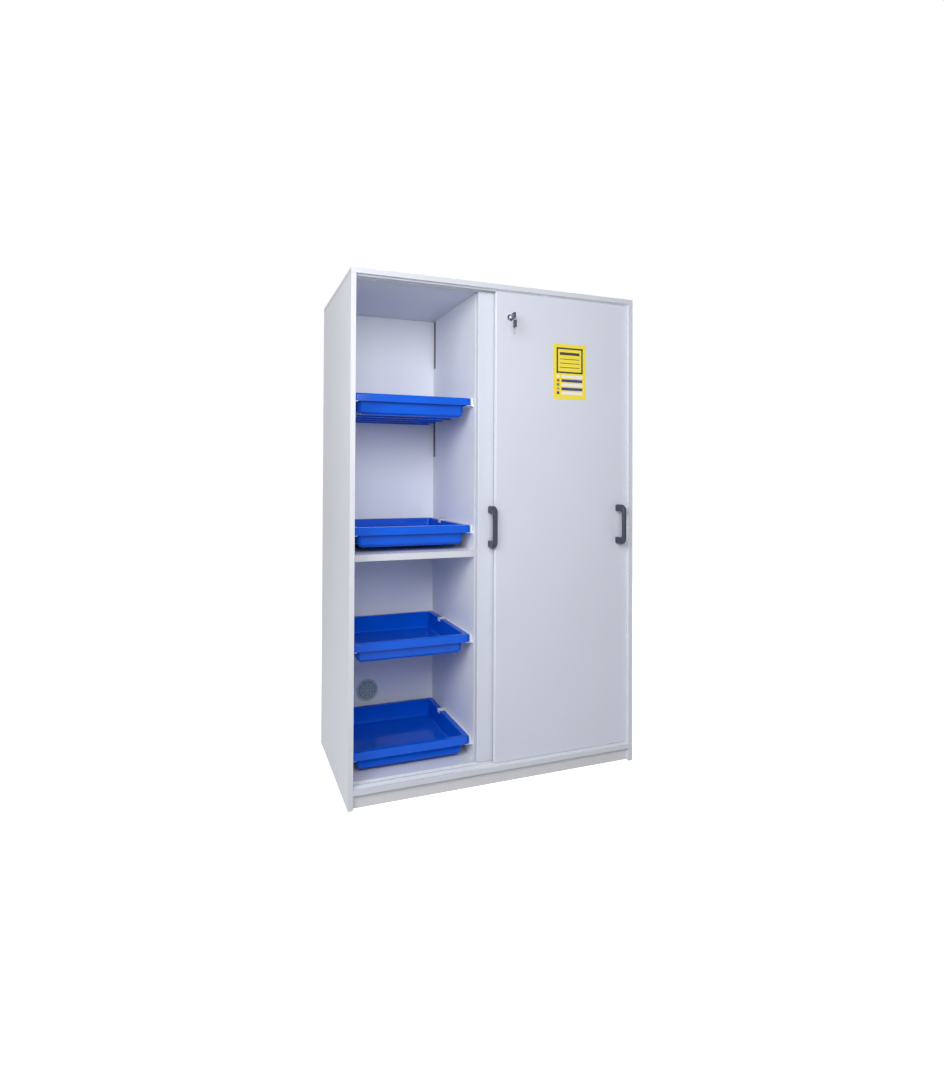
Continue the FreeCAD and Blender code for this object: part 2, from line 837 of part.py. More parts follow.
def build_door(name, door_x, door_y, handle_x, more_cuts):
    save(name, door_panel(door_x, door_y, handle_x).cut(more_cuts))
    save(name + "_handle", handle(door_y, handle_x))
    save(name + "_handle_screws", *handle_screws(door_y, handle_x))
    save(name + "_roller_housings", *roller_housings(door_x, door_y))
    save(name + "_top_guides", *top_guides(door_x, door_y))
    left, right = housing_places(door_x)
    save(name + "_left_wheel", wheel(left, door_y))
    save(name + "_right_wheel", wheel(right, door_y))


def build_lock():
    save("lock_housing", lock_housing())
    save("lock_barrel", lock_barrel())
    save("lock_core", lock_core())
    save("key", moved(key_shape(), lock_x, key_head_y, lock_height))
    save("key_ring", key_ring())
    save("spare_key", spare_key())


def build_trays():
    basin = tray()
    rail = runner()
    angle = carrier()
    front = roller(front_roller_y, front_roller_z)
    rear = roller(rear_roller_y, rear_roller_z)
    left_rails = []
    right = {"trays": [], "runners": [], "carriers": [], "rollers": []}
    for number, height in enumerate(tray_rim_heights, 1):
        name = "left_tray_" + str(number)
        save(name, moved(basin, -bay_centre_x, tray_front_y, height))
        save(name + "_carriers", *in_left_bay(angle, height))
        save(name + "_front_rollers", *in_left_bay(front, height))
        save(name + "_rear_rollers", *in_left_bay(rear, height))
        left_rails += in_left_bay(rail, height)
        right["trays"].append(moved(basin, bay_centre_x, tray_front_y, height))
        right["runners"] += in_right_bay(rail, height)
        right["carriers"] += in_right_bay(angle, height)
        right["rollers"] += in_right_bay(front, height) + in_right_bay(rear, height)
    save("left_tray_runners", *left_rails)
    save("right_trays", *right["trays"])
    save("right_tray_runners", *right["runners"])
    save("right_tray_carriers", *right["carriers"])
    save("right_tray_rollers", *right["rollers"])


lock_bore = y_rod(front_door_y - overrun, lock_end_y + overrun, lock_x, lock_height, lock_housing_radius)
build_carcass()
build_door("front_door", front_door_x, front_door_y, front_handle_x, [lock_bore])
build_door("rear_door", rear_door_x, rear_door_y, rear_handle_x, [])
build_lock()
save("label_card", label_card())
build_trays()
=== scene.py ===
import json
import math

import bmesh
import bpy
from mathutils import Matrix, Vector

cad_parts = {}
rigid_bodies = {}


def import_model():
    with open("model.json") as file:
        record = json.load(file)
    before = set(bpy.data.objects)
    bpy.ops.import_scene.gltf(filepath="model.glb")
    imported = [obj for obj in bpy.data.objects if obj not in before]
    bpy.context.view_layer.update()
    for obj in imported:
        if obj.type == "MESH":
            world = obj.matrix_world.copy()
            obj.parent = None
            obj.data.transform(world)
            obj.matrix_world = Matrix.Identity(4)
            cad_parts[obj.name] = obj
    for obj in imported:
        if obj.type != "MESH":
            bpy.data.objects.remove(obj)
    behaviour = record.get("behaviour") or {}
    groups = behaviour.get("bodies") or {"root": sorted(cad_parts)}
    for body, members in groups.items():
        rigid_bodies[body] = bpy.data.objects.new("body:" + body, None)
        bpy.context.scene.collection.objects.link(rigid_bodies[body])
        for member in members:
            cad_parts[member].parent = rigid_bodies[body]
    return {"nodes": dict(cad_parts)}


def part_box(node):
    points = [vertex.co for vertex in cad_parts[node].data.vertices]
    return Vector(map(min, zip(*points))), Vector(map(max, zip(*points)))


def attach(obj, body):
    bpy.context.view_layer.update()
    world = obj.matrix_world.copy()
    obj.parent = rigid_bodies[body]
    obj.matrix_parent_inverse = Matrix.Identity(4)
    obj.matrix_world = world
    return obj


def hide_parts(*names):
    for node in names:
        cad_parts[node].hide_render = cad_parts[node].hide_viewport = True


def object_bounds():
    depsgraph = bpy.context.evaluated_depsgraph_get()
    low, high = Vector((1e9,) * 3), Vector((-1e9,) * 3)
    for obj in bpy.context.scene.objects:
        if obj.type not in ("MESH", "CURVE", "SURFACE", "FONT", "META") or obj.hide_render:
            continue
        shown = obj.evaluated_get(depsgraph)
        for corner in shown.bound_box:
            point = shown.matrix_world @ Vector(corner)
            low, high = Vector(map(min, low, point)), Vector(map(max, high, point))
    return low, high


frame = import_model()
cad_low, cad_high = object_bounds()

bl_info = {
    "name": "Reagent drawer cabinet",
    "version": (1, 0, 0),
    "blender": (4, 5, 0),
    "location": "View3D > Sidebar > Cabinet",
    "description": "Adds the boards, doors, trays, slides, lock and air fittings of a reagent drawer cabinet",
    "category": "Object",
}

MM = 0.001
X_AXIS, Y_AXIS, Z_AXIS = 0, 1, 2
NEAR = 0.1 * MM  # what lies this close to a plane counts as on it
WELD = 0.005 * MM  # vertices closer than this become one
OVERRUN = 5 * MM  # how far a cutter reaches past a face
TO_FRONT = (math.radians(90), 0, 0)  # turns a piece that looks up towards the front
TO_BACK = (math.radians(-90), 0, 0)
DOORS = ("front_door", "rear_door")
HANDLE_SCREW_RADIUS = 4 * MM
LOCK_TUBE_RADIUS = 11 * MM
LAMP_AIM = Vector((0, 0, 0.95))
FLOOR_RADIUS = 14
FLOOR_GLOW = 0.87  # what makes the floor white for the camera alone
PHOTO_PIXELS = "In pixels of the photograph"

# Planes that the CAD model gives
front_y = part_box("left_side_panel")[0].y
inner_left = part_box("left_side_panel")[1].x
divider_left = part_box("left_divider")[0].x
interior_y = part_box("left_divider")[0].y
back_face_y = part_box("back_panel")[0].y
floor_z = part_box("bottom_panel")[1].z
ceiling_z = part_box("top_panel")[0].z
front_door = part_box("front_door")
rear_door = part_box("rear_door")
tray_names = ["left_tray_%d" % number for number in (1, 2, 3, 4)]
rim_heights = [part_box(name)[1].z for name in tray_names]


def tone(red, green, blue):
    """A screen colour of 0 to 255 as the linear values that a shader takes."""
    values = []
    for channel in (red, green, blue):
        share = channel / 255
        values.append(share / 12.92 if share <= 0.04045 else ((share + 0.055) / 1.055) ** 2.4)
    return tuple(values)


def length(name, description, default):
    """A length of the cabinet that a user may change."""
    return bpy.props.FloatProperty(name=name, description=description, default=default, min=0.0,
                                   subtype="DISTANCE", unit="LENGTH", precision=4)


def number(name, description, default, **more):
    """A plain number or angle that a user may change."""
    return bpy.props.FloatProperty(name=name, description=description, default=default, **more)


def angle(name, description, degrees):
    return number(name, description, math.radians(degrees), subtype="ANGLE", unit="ROTATION")


def power(name, description, watts):
    return number(name, description, watts, min=0.0, unit="POWER")


def colour(name, description, default):
    """A colour of the cabinet that a user may change."""
    return bpy.props.FloatVectorProperty(name=name, description=description, default=default, size=3,
                                         min=0.0, max=1.0, subtype="COLOR")


class CabinetSizes(bpy.types.PropertyGroup):
    """Sizes of the pieces that are modelled here."""

    board_edge: length("Board edge", "Rounding of a board's edges", 0.8 * MM)
    door_edge: length("Door edge", "Rounding of a door's edges", 1.0 * MM)
    band: length("Edge band", "Thickness of the band glued to a board's narrow faces", 1.0 * MM)
    plinth_board: length("Plinth board", "Thickness of a plinth board", 16 * MM)
    outlet_hole: length("Outlet hole", "Radius of the hole in the top panel", 50 * MM)
    grille_hole: length("Grille hole", "Radius of the holes in the back panel", 44 * MM)
    slot_width: length("Air slot width", "Width of the slots at the back of the dividers", 27 * MM)
    slot_length: length("Air slot length", "Length of one slot", 225 * MM)
    slot_gap: length("Air slot gap", "Height between two slots", 193 * MM)
    track_base: length("Track base", "Sheet thickness of a track", 1.5 * MM)
    track_rib: length("Track rib", "Thickness of a track's ribs", 1.5 * MM)
    track_channel: length("Track channel", "Width of the channel for a wheel", 9 * MM)
    grip: length("Handle grip", "Thickness of a handle's grip", 12 * MM)
    foot: length("Handle foot", "Length of a handle's foot on the door", 28 * MM)
    grip_outside: length("Handle outside", "Radius of a handle's outer corners", 26 * MM)
    grip_inside: length("Handle inside", "Radius of a handle's inner corners", 10 * MM)
    grip_edge: length("Handle edge", "Chamfer along a handle's outer edges", 5.0 * MM)
    tray_wall: length("Tray wall", "Wall of a tray", 3 * MM)
    tray_rim: length("Tray rim", "Height of a tray's rim", 30 * MM)
    tray_overhang: length("Tray overhang", "Width of a tray's rim outside its body", 20 * MM)
    tray_draft: length("Tray draft", "How far a tray's walls lean in over its height", 6 * MM)
    tray_corner: length("Tray corner", "Radius of the corners seen from above", 16 * MM)
    tray_edge: length("Tray edge", "Radius of the rim's outer edge", 6 * MM)
    tray_mouth: length("Tray mouth", "Radius of the edge round the mouth", 2 * MM)
    tray_floor: length("Tray floor", "Radius between floor and walls, inside", 8 * MM)
    tray_rib: length("Tray rib", "Width of a rib under the floor", 6 * MM)
    tray_rib_height: length("Tray rib height", "Height of a rib under the floor", 4 * MM)
    roller_radius: length("Roller radius", "Radius of a tray's rollers", 8 * MM)
    roller_width: length("Roller width", "Width of a tray's rollers", 6 * MM)
    roller_gap: length("Roller gap", "Gap between a roller and the wall", 2.5 * MM)
    wheel_radius: length("Wheel radius", "Radius of a door's wheels", 12 * MM)
    wheel_width: length("Wheel width", "Width of a door's wheels", 7 * MM)
    lock_radius: length("Lock radius", "Radius of the push barrel", 8 * MM)
    key_head: length("Key head", "Length of a key's cover", 30 * MM)
    key_width: length("Key width", "Width of a key's cover", 24 * MM)
    key_thickness: length("Key thickness", "Thickness of a key's cover", 4 * MM)
    ring_radius: length("Ring radius", "Radius of the key ring", 15 * MM)
    grille_radius: length("Grille radius", "Radius of a grille's flange", 50 * MM)


class CabinetColours(bpy.types.PropertyGroup):
    """Colours of the cabinet's materials."""

    board: colour("Boards", "Melamine of the outer boards", tone(225, 228, 236))
    # The inner boards get a brighter copy of the white melamine: painted light on the shaded interior.
    painted_light_liner: colour("Inner boards", "Melamine of the boards inside", tone(240, 243, 249))
    band: colour("Edge bands", "Edge bands of the boards", tone(202, 205, 212))
    # The plinth is the same white melamine made darker: painted shade under the bottom board's overhang.
    plinth: colour("Plinth", "Melamine of the plinth", tone(206, 206, 209))
    door: colour("Doors", "Melamine of the doors", tone(204, 208, 219))
    # A lighter copy of the band colour for the door and divider edges: painted light on edges that sit in shade.
    painted_light_band: colour("Light bands", "Edge bands of the doors and dividers", tone(238, 241, 247))
    tray: colour("Trays", "Moulded plastic of the trays", tone(0, 88, 212))
    slide: colour("Slides", "Powder coat of the slides", tone(234, 237, 245))
    track: colour("Tracks", "Lacquer of the door tracks", tone(222, 225, 231))
    roller: colour("Rollers", "Nylon of rollers and wheels", tone(208, 208, 200))
    gear: colour("Door gear", "Plastic of wheel housings and guides", tone(96, 99, 104))
    handle: colour("Handles", "Plastic of the handles", tone(60, 64, 77))
    cover: colour("Key covers", "Plastic of the key covers", tone(34, 36, 46))
    card: colour("Card", "Ground of the contents card", tone(232, 212, 52))
    grille: colour("Grilles", "Plastic of the air grilles", tone(190, 210, 212))
    collar: colour("Collar", "Sheet steel of the outlet collar", tone(206, 210, 216))


class CabinetStage(bpy.types.PropertyGroup):
    """The floor, the lights and the camera."""

    world: number("World", "Strength of the even light", 0.27, min=0.0)
    key: power("Key light", "Strength of the lamp in front", 40.0)
    fill: power("Fill light", "Strength of the lamp at the left", 42.0)
    back: power("Back light", "Strength of the lamp behind the right side", 70.0)
    camera_place: bpy.props.FloatVectorProperty(
        name="Camera place", description="Where the camera stands", default=(-1.037, -2.663, 1.203), size=3,
        subtype="TRANSLATION", unit="LENGTH")
    camera_yaw: angle("Camera yaw", "Turn to the right of straight ahead", 21.29)
    camera_pitch: angle("Camera pitch", "Tilt upwards", 0.73)
    camera_roll: angle("Camera roll", "Turn about the line of sight", 0.24)
    focal_pixels: number("Focal length", PHOTO_PIXELS, 652.7, min=1.0)
    centre_pixels: bpy.props.FloatVectorProperty(
        name="Optical centre", description=PHOTO_PIXELS + ", from its upper left", default=(473.3, 466.4), size=2)
    photo_pixels: bpy.props.IntVectorProperty(name="Photograph", description="Its width and height in pixels",
                                              default=(944, 1080), size=2, min=1)


def sizes():
    return bpy.context.scene.cabinet_sizes


def colours():
    return bpy.context.scene.cabinet_colours


# Modelling helpers


def deselect():
    """Leaves edit mode with nothing selected."""
    if bpy.context.mode != "OBJECT":
        bpy.ops.object.mode_set(mode="OBJECT")
    bpy.ops.object.select_all(action="DESELECT")


def choose(*pieces):
    """Selects these pieces alone, with the first one active."""
    deselect()
    for piece in pieces:
        piece.select_set(True)
    bpy.context.view_layer.objects.active = pieces[0]


def open_mesh(piece):
    """Enters edit mode on a piece, with vertices to select and none of them selected."""
    choose(piece)
    bpy.ops.object.mode_set(mode="EDIT")
    bpy.ops.mesh.select_mode(type="VERT")
    bpy.ops.mesh.select_all(action="DESELECT")


def close_mesh():
    bpy.ops.object.mode_set(mode="OBJECT")


def select_everything():
    bpy.ops.mesh.select_all(action="SELECT")


def split_mesh(point, normal):
    """Divides the faces of the open mesh along a plane."""
    select_everything()
    bpy.ops.mesh.bisect(plane_co=point, plane_no=normal)


def face_outwards():
    select_everything()
    bpy.ops.mesh.normals_make_consistent(inside=False)


def bevel_picked(width, segments):
    bpy.ops.mesh.bevel(offset=width, segments=segments, affect="EDGES", clamp_overlap=False)


def extrude_picked(step):
    bpy.ops.mesh.extrude_region_move(TRANSFORM_OT_translate={"value": step})


def apply_transform():
    bpy.ops.object.transform_apply(location=True, rotation=True, scale=True)


def box_centre(node):
    low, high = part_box(node)
    return (low + high) / 2


def pick(kind, test):
    """Selects the vertices, edges or faces of the open mesh that pass the test."""
    bpy.ops.mesh.select_mode(type=kind)
    bpy.ops.mesh.select_all(action="DESELECT")
    data = bpy.context.object.data
    mesh = bmesh.from_edit_mesh(data)
    for item in {"VERT": mesh.verts, "EDGE": mesh.edges, "FACE": mesh.faces}[kind]:
        if test(item):
            item.select_set(True)
    mesh.select_flush_mode()
    bmesh.update_edit_mesh(data)


def middle(edge):
    return (edge.verts[0].co + edge.verts[1].co) / 2


def along(edge, axis):
    """True if an edge runs along this axis."""
    step = edge.verts[1].co - edge.verts[0].co
    return abs(step[axis]) > 0.999 * step.length


def is_sharp(edge):
    return len(edge.link_faces) == 2 and edge.calc_face_angle() > math.radians(60)


def name_piece(piece, name):
    piece.name = name
    piece.data.name = name
    return piece


def add_block(name, low, high):
    """A block between two corners, ready to be shaped."""
    deselect()
    low, high = Vector(low), Vector(high)
    bpy.ops.mesh.primitive_cube_add(size=1, location=(low + high) / 2, scale=high - low)
    apply_transform()
    return name_piece(bpy.context.object, name)


def add_rod(name, start, end, radius, vertices=32):
    """A round bar between two points, ready to be shaped."""
    deselect()
    start, end = Vector(start), Vector(end)
    run = end - start
    bpy.ops.mesh.primitive_cylinder_add(vertices=vertices, radius=radius, depth=run.length,
                                        location=(start + end) / 2,
                                        rotation=run.to_track_quat("Z", "Y").to_euler())
    apply_transform()
    return name_piece(bpy.context.object, name)


def place(piece, location=(0, 0, 0), rotation=(0, 0, 0)):
    """Turns and moves a piece that was modelled at the origin, and puts its place in its mesh."""
    choose(piece)
    piece.location = location
    piece.rotation_euler = rotation
    apply_transform()
    return piece


def turn(name, profile, steps=48):
    """Spins a closed outline of (radius, height) points about the Z axis."""
    deselect()
    bpy.ops.mesh.primitive_plane_add(size=MM)
    piece = name_piece(bpy.context.object, name)
    open_mesh(piece)
    select_everything()
    bpy.ops.mesh.merge(type="CENTER")
    radius, height = profile[0]
    bpy.ops.transform.translate(value=(radius, 0, height))
    for next_radius, next_height in profile[1:]:
        bpy.ops.mesh.extrude_vertices_move(
            TRANSFORM_OT_translate={"value": (next_radius - radius, 0, next_height - height)})
        radius, height = next_radius, next_height
    select_everything()
    bpy.ops.mesh.spin(steps=steps, angle=2 * math.pi, center=(0, 0, 0), axis=(0, 0, 1))
    select_everything()
    bpy.ops.mesh.remove_doubles(threshold=WELD)
    bpy.ops.mesh.dissolve_degenerate(threshold=0.2 * WELD)
    face_outwards()
    close_mesh()
    return piece


def apply_modifier(piece, kind, **values):
    """Puts a modifier with these values on a piece and applies it."""
    modifier = piece.modifiers.new(kind.title(), kind)
    for name, value in values.items():
        setattr(modifier, name, value)
    choose(piece)
    bpy.ops.object.modifier_apply(modifier=modifier.name)


def cut_out(piece, *cutters):
    """Cuts these shapes out of a piece, and deletes them."""
    for cutter in cutters:
        apply_modifier(piece, "BOOLEAN", operation="DIFFERENCE", solver="EXACT", object=cutter)
        bpy.data.objects.remove(cutter)


def ease_edges(piece, width, segments=2, angle=40):
    """Rounds every edge that is sharper than the angle."""
    apply_modifier(piece, "BEVEL", width=width, segments=segments, limit_method="ANGLE",
                   angle_limit=math.radians(angle), use_clamp_overlap=True)


def smooth(piece, angle=35):
    """Smooth shading that keeps flat faces flat."""
    choose(piece)
    bpy.ops.object.shade_smooth_by_angle(angle=math.radians(angle))
    apply_modifier(piece, "WEIGHTED_NORMAL", keep_sharp=True, weight=80)


def thicken(piece, thickness):
    """Gives a shell its wall, away from the side that its faces look to."""
    apply_modifier(piece, "SOLIDIFY", thickness=thickness, offset=-1, use_even_offset=True)


def join(pieces, name):
    """One piece from several."""
    choose(*pieces)
    bpy.ops.object.join()
    return name_piece(bpy.context.object, name)


def copy_piece(piece, name, move=(0, 0, 0)):
    """A copy of a finished piece with its own mesh, moved."""
    choose(piece)
    bpy.ops.object.duplicate(linked=False)
    copy = name_piece(bpy.context.object, name)
    copy.location = move
    apply_transform()
    return copy


def repeat(piece, name, places):
    """One piece from copies of this one at (location, rotation) places."""
    return join([place(copy_piece(piece, name), *spot) for spot in places], name)


def copy_node(node, name, edge):
    """The CAD shape of a node with merged faces and eased edges."""
    source = frame["nodes"][node]
    deselect()
    source.hide_viewport = False
    source.select_set(True)
    bpy.context.view_layer.objects.active = source
    bpy.ops.object.duplicate(linked=False)
    copy = bpy.context.object
    bpy.ops.object.parent_clear(type="CLEAR_KEEP_TRANSFORM")
    apply_transform()
    name_piece(copy, name)
    copy.data.materials.clear()
    open_mesh(copy)
    select_everything()
    bpy.ops.mesh.remove_doubles(threshold=WELD)
    bpy.ops.mesh.customdata_custom_splitnormals_clear()
    bpy.ops.mesh.dissolve_limited(angle_limit=math.radians(0.5))
    close_mesh()
    ease_edges(copy, edge)
    smooth(copy)
    return copy


def paint(piece, *names):
    """Gives a piece its materials, the first one all over."""
    piece.data.materials.clear()
    for name in names:
        piece.data.materials.append(bpy.data.materials[name])
    return piece


def paint_faces(piece, index, test):
    """Gives the faces that pass the test another of the piece's materials."""
    for face in piece.data.polygons:
        if test(face):
            face.material_index = index


def mount(piece, body, slot, *nodes):
    """The piece moves with a CAD body, and stands for these CAD nodes."""
    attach(piece, body)
    if nodes:
        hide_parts(*nodes)
    return piece


# Materials


class Finish:
    """A material that is built from a shader's plain values and patterns on the piece's own coordinates."""

    def __init__(self, name, base, roughness, **values):
        self.material = bpy.data.materials.new(name)
        self.material.use_nodes = True
        self.base = base
        self.roughness = roughness
        self.nodes = self.material.node_tree.nodes
        self.shader = self.nodes["Principled BSDF"]
        self.shader.inputs["Base Color"].default_value = (*base, 1)
        self.shader.inputs["Roughness"].default_value = roughness
        for socket, value in values.items():
            self.shader.inputs[socket.replace("_", " ")].default_value = value
        self.coordinates = self.nodes.new("ShaderNodeTexCoord")
        self.normal = None

    def link(self, source, target):
        self.material.node_tree.links.new(source, target)

    def mapping(self, stretch):
        node = self.nodes.new("ShaderNodeMapping")
        node.inputs["Scale"].default_value = stretch
        self.link(self.coordinates.outputs["Object"], node.inputs["Vector"])
        return node.outputs["Vector"]

    def noise(self, scale, detail=2.0, stretch=(1, 1, 1)):
        """A cloudy pattern; scale is in patches per metre."""
        node = self.nodes.new("ShaderNodeTexNoise")
        node.inputs["Scale"].default_value = scale
        node.inputs["Detail"].default_value = detail
        self.link(self.mapping(stretch), node.inputs["Vector"])
        return node.outputs["Fac"]

    def cells(self, scale):
        """Crystal cells, each of one value."""
        node = self.nodes.new("ShaderNodeTexVoronoi")
        node.inputs["Scale"].default_value = scale
        self.link(self.mapping((1, 1, 1)), node.inputs["Vector"])
        split = self.nodes.new("ShaderNodeSeparateColor")
        self.link(node.outputs["Color"], split.inputs["Color"])
        return split.outputs["Red"]

    def spread(self, pattern, low, high, start=0.3, end=0.7):
        """The pattern's values from start to end, as values from low to high."""
        node = self.nodes.new("ShaderNodeMapRange")
        node.inputs["From Min"].default_value = start
        node.inputs["From Max"].default_value = end
        node.inputs["To Min"].default_value = low
        node.inputs["To Max"].default_value = high
        self.link(pattern, node.inputs["Value"])
        return node.outputs["Result"]

    def shade(self, pattern, dark, light=1.0):
        """The base colour times a value that follows the pattern."""
        mix = self.nodes.new("ShaderNodeMix")
        mix.data_type = "RGBA"
        mix.blend_type = "MIX"
        mix.inputs["A"].default_value = (*[channel * dark for channel in self.base], 1)
        mix.inputs["B"].default_value = (*[min(channel * light, 1) for channel in self.base], 1)
        self.link(self.spread(pattern, 0, 1), mix.inputs["Factor"])
        self.link(mix.outputs["Result"], self.shader.inputs["Base Color"])
        return self

    def sheen_change(self, pattern, change):
        """Roughness that follows the pattern."""
        result = self.spread(pattern, self.roughness - change, self.roughness + change)
        self.link(result, self.shader.inputs["Roughness"])
        return self

    def relief(self, pattern, depth, strength=1.0):
        """Small hills that follow the pattern, of this depth in metres."""
        node = self.nodes.new("ShaderNodeBump")
        node.inputs["Strength"].default_value = strength
        node.inputs["Distance"].default_value = depth
        self.link(pattern, node.inputs["Height"])
        if self.normal:
            self.link(self.normal, node.inputs["Normal"])
        self.normal = node.outputs["Normal"]
        self.link(self.normal, self.shader.inputs["Normal"])
        return self


def melamine(name, base, roughness):
    """Paper-faced board with a fine pearl grain."""
    finish = Finish(name, base, roughness, Specular_IOR_Level=0.45)
    finish.shade(finish.noise(2.2, 3), 0.975, 1.01)
    finish.sheen_change(finish.noise(5, 3), 0.03)
    finish.relief(finish.noise(1500, 3), 0.02 * MM, 0.5)
    return finish


def moulded(name, base, roughness, grain, depth, **values):
    """Injection-moulded plastic with a spark-eroded grain and slow flow marks."""
    finish = Finish(name, base, roughness, **values)
    finish.shade(finish.noise(9, 2), 0.94, 1.04)
    finish.sheen_change(finish.noise(14, 3), 0.04)
    finish.relief(finish.noise(grain, 2), depth)
    return finish


def brushed(name, base, roughness, stretch):
    """Bare metal with lines drawn along one axis."""
    finish = Finish(name, base, roughness, Metallic=1.0)
    lines = finish.noise(1, 4, stretch)
    finish.shade(lines, 0.9, 1.05)
    finish.sheen_change(lines, 0.07)
    finish.relief(lines, 0.01 * MM, 0.6)
    return finish


class CABINET_OT_finishes(bpy.types.Operator):
    """Makes the materials"""

    bl_idname = "cabinet.finishes"
    bl_label = "Make the finishes"

    def execute(self, context):
        tint = colours()
        melamine("white_melamine", tint.board, 0.42)
        # The inner boards' melamine is the outer white made brighter: painted light.
        melamine("painted_light_inner_melamine", tint.painted_light_liner, 0.42)
        melamine("door_melamine", tint.door, 0.36)
        # The plinth's melamine is the white made darker: painted shade of its recess.
        melamine("shaded_plinth_melamine", tint.plinth, 0.42)
        # The second band is the same band made lighter: painted light for the door and divider edges.
        for name, base in (("edge_band", tint.band), ("painted_light_band", tint.painted_light_band)):
            band = Finish(name, base, 0.38)
            band.shade(band.noise(6, 2), 0.97, 1.01).relief(band.noise(700, 2), 0.01 * MM, 0.5)
        # Dark grey board colour: painted shade for the air column behind the dividers, seen through the slots.
        painted_column_shade = Finish("painted_column_shade", tone(140, 141, 146), 0.8)
        painted_column_shade.shade(painted_column_shade.noise(900, 4), 0.6, 1.15).relief(painted_column_shade.noise(900, 4), 0.1 * MM)
        moulded("blue_plastic", tint.tray, 0.12, 1100, 0.002 * MM, Specular_IOR_Level=0.2)
        powder = Finish("powder_coat", tint.slide, 0.34)
        powder.shade(powder.noise(20, 2), 0.97, 1.01).relief(powder.noise(650, 2), 0.03 * MM, 0.6)
        nylon = moulded("nylon", tint.roller, 0.42, 700, 0.01 * MM, Subsurface_Weight=0.15)
        nylon.shader.inputs["Subsurface Scale"].default_value = 2 * MM
        moulded("grey_gear_plastic", tint.gear, 0.5, 900, 0.02 * MM)
        moulded("dark_handle_plastic", tint.handle, 0.34, 1500, 0.01 * MM, Specular_IOR_Level=0.28)
        moulded("black_key_plastic", tint.cover, 0.36, 1800, 0.01 * MM)
        moulded("grey_key_stripe", tone(92, 95, 102), 0.42, 1800, 0.01 * MM)
        brushed("zinc", tone(196, 199, 204), 0.32, (60, 60, 60))
        lacquer = Finish("white_lacquer", tint.track, 0.3)
        lacquer.shade(lacquer.noise(9, 2, (1, 8, 8)), 0.97, 1.01)
        lacquer.relief(lacquer.noise(500, 2, (0.05, 1, 1)), 0.01 * MM, 0.5)
        brushed("satin_chrome", tone(214, 216, 222), 0.18, (500, 40, 500))
        brushed("nickel", tone(186, 188, 192), 0.26, (40, 40, 900))
        brushed("dark_steel", tone(74, 76, 84), 0.38, (200, 200, 200))
        # Near black for the screws' cross recesses: painted shade, as the recess is bare zinc.
        recess = Finish("painted_recess_shade", tone(34, 35, 38), 0.7)
        recess.shade(recess.noise(300, 2), 0.8, 1.1)
        card = Finish("yellow_card", tint.card, 0.3, Coat_Weight=0.35, Coat_Roughness=0.12)
        card.shade(card.noise(60, 4), 0.965, 1.02).relief(card.noise(30, 2), 0.05 * MM, 0.5)
        for name, ink in (("ink_black", (30, 30, 34)), ("ink_white", (226, 226, 224)), ("ink_red", (176, 78, 62)),
                          ("ink_green", (62, 138, 84)), ("ink_blue", (40, 46, 122)), ("ink_rose", (206, 140, 128))):
            printed = Finish(name, tone(*ink), 0.32, Coat_Weight=0.35, Coat_Roughness=0.12)
            printed.shade(printed.noise(400, 3), 0.92, 1.06)
        grille = moulded("green_grey_plastic", tint.grille, 0.5, 900, 0.02 * MM)
        grille.material.use_backface_culling = False
        fleece = Finish("filter_fleece", tone(168, 190, 198), 0.95, Specular_IOR_Level=0.1)
        fleece.shade(fleece.noise(900, 4), 0.55, 1.2).relief(fleece.noise(900, 4), 0.6 * MM)
        collar = Finish("zinc_coated_sheet", tint.collar, 0.36, Metallic=0.9)
        spangle = collar.cells(160)
        collar.shade(spangle, 0.86, 1.04).sheen_change(spangle, 0.06)
        collar.relief(collar.noise(300, 2), 0.01 * MM, 0.5)
        return {"FINISHED"}


# The carcass


def make_board(name, low, high, axis):
    """A board with a band glued round it, which shows as a fine line on its faces."""
    board = add_block(name, low, high)
    open_mesh(board)
    for side in {X_AXIS, Y_AXIS, Z_AXIS} - {axis}:
        for end, step in ((low[side], 1), (high[side], -1)):
            point, normal = Vector(low), Vector((0, 0, 0))
            point[side] = end + step * sizes().band
            normal[side] = 1
            split_mesh(point, normal)
    close_mesh()
    return board


def finish_board(board, low, high, axis, edge, face_finish, band_finish):
    """Rounds a board's edges, paints it and bands it."""
    ease_edges(board, edge)
    paint(board, face_finish, band_finish)
    band = sizes().band

    def is_band(face):
        if abs(face.normal[axis]) < 0.5:
            return True
        for side in {X_AXIS, Y_AXIS, Z_AXIS} - {axis}:
            if min(face.center[side] - low[side], high[side] - face.center[side]) < 0.9 * band:
                return True
        return False

    paint_faces(board, 1, is_band)
    smooth(board)
    return board


def board_from_node(node, axis, edge, cutters, face_finish, band_finish):
    low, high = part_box(node)
    board = make_board(node + "_board", low, high, axis)
    cut_out(board, *cutters)
    return finish_board(board, low, high, axis, edge, face_finish, band_finish)


def slot_cutters(node):
    """Cutters for the air slots at the back of a divider."""
    low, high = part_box(node)
    size = sizes()
    cutters = []
    for start in (ceiling_z - size.slot_length, ceiling_z - 2 * size.slot_length - size.slot_gap):
        end = start + size.slot_length
        if end > ceiling_z - MM:
            end += OVERRUN
        cutters.append(add_block("cutter", (low.x - OVERRUN, back_face_y - size.slot_width, start),
                                 (high.x + OVERRUN, back_face_y + OVERRUN, end)))
    return cutters


def grille_places():
    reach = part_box("vent_grilles")[1].x - sizes().grille_radius
    return -reach, reach


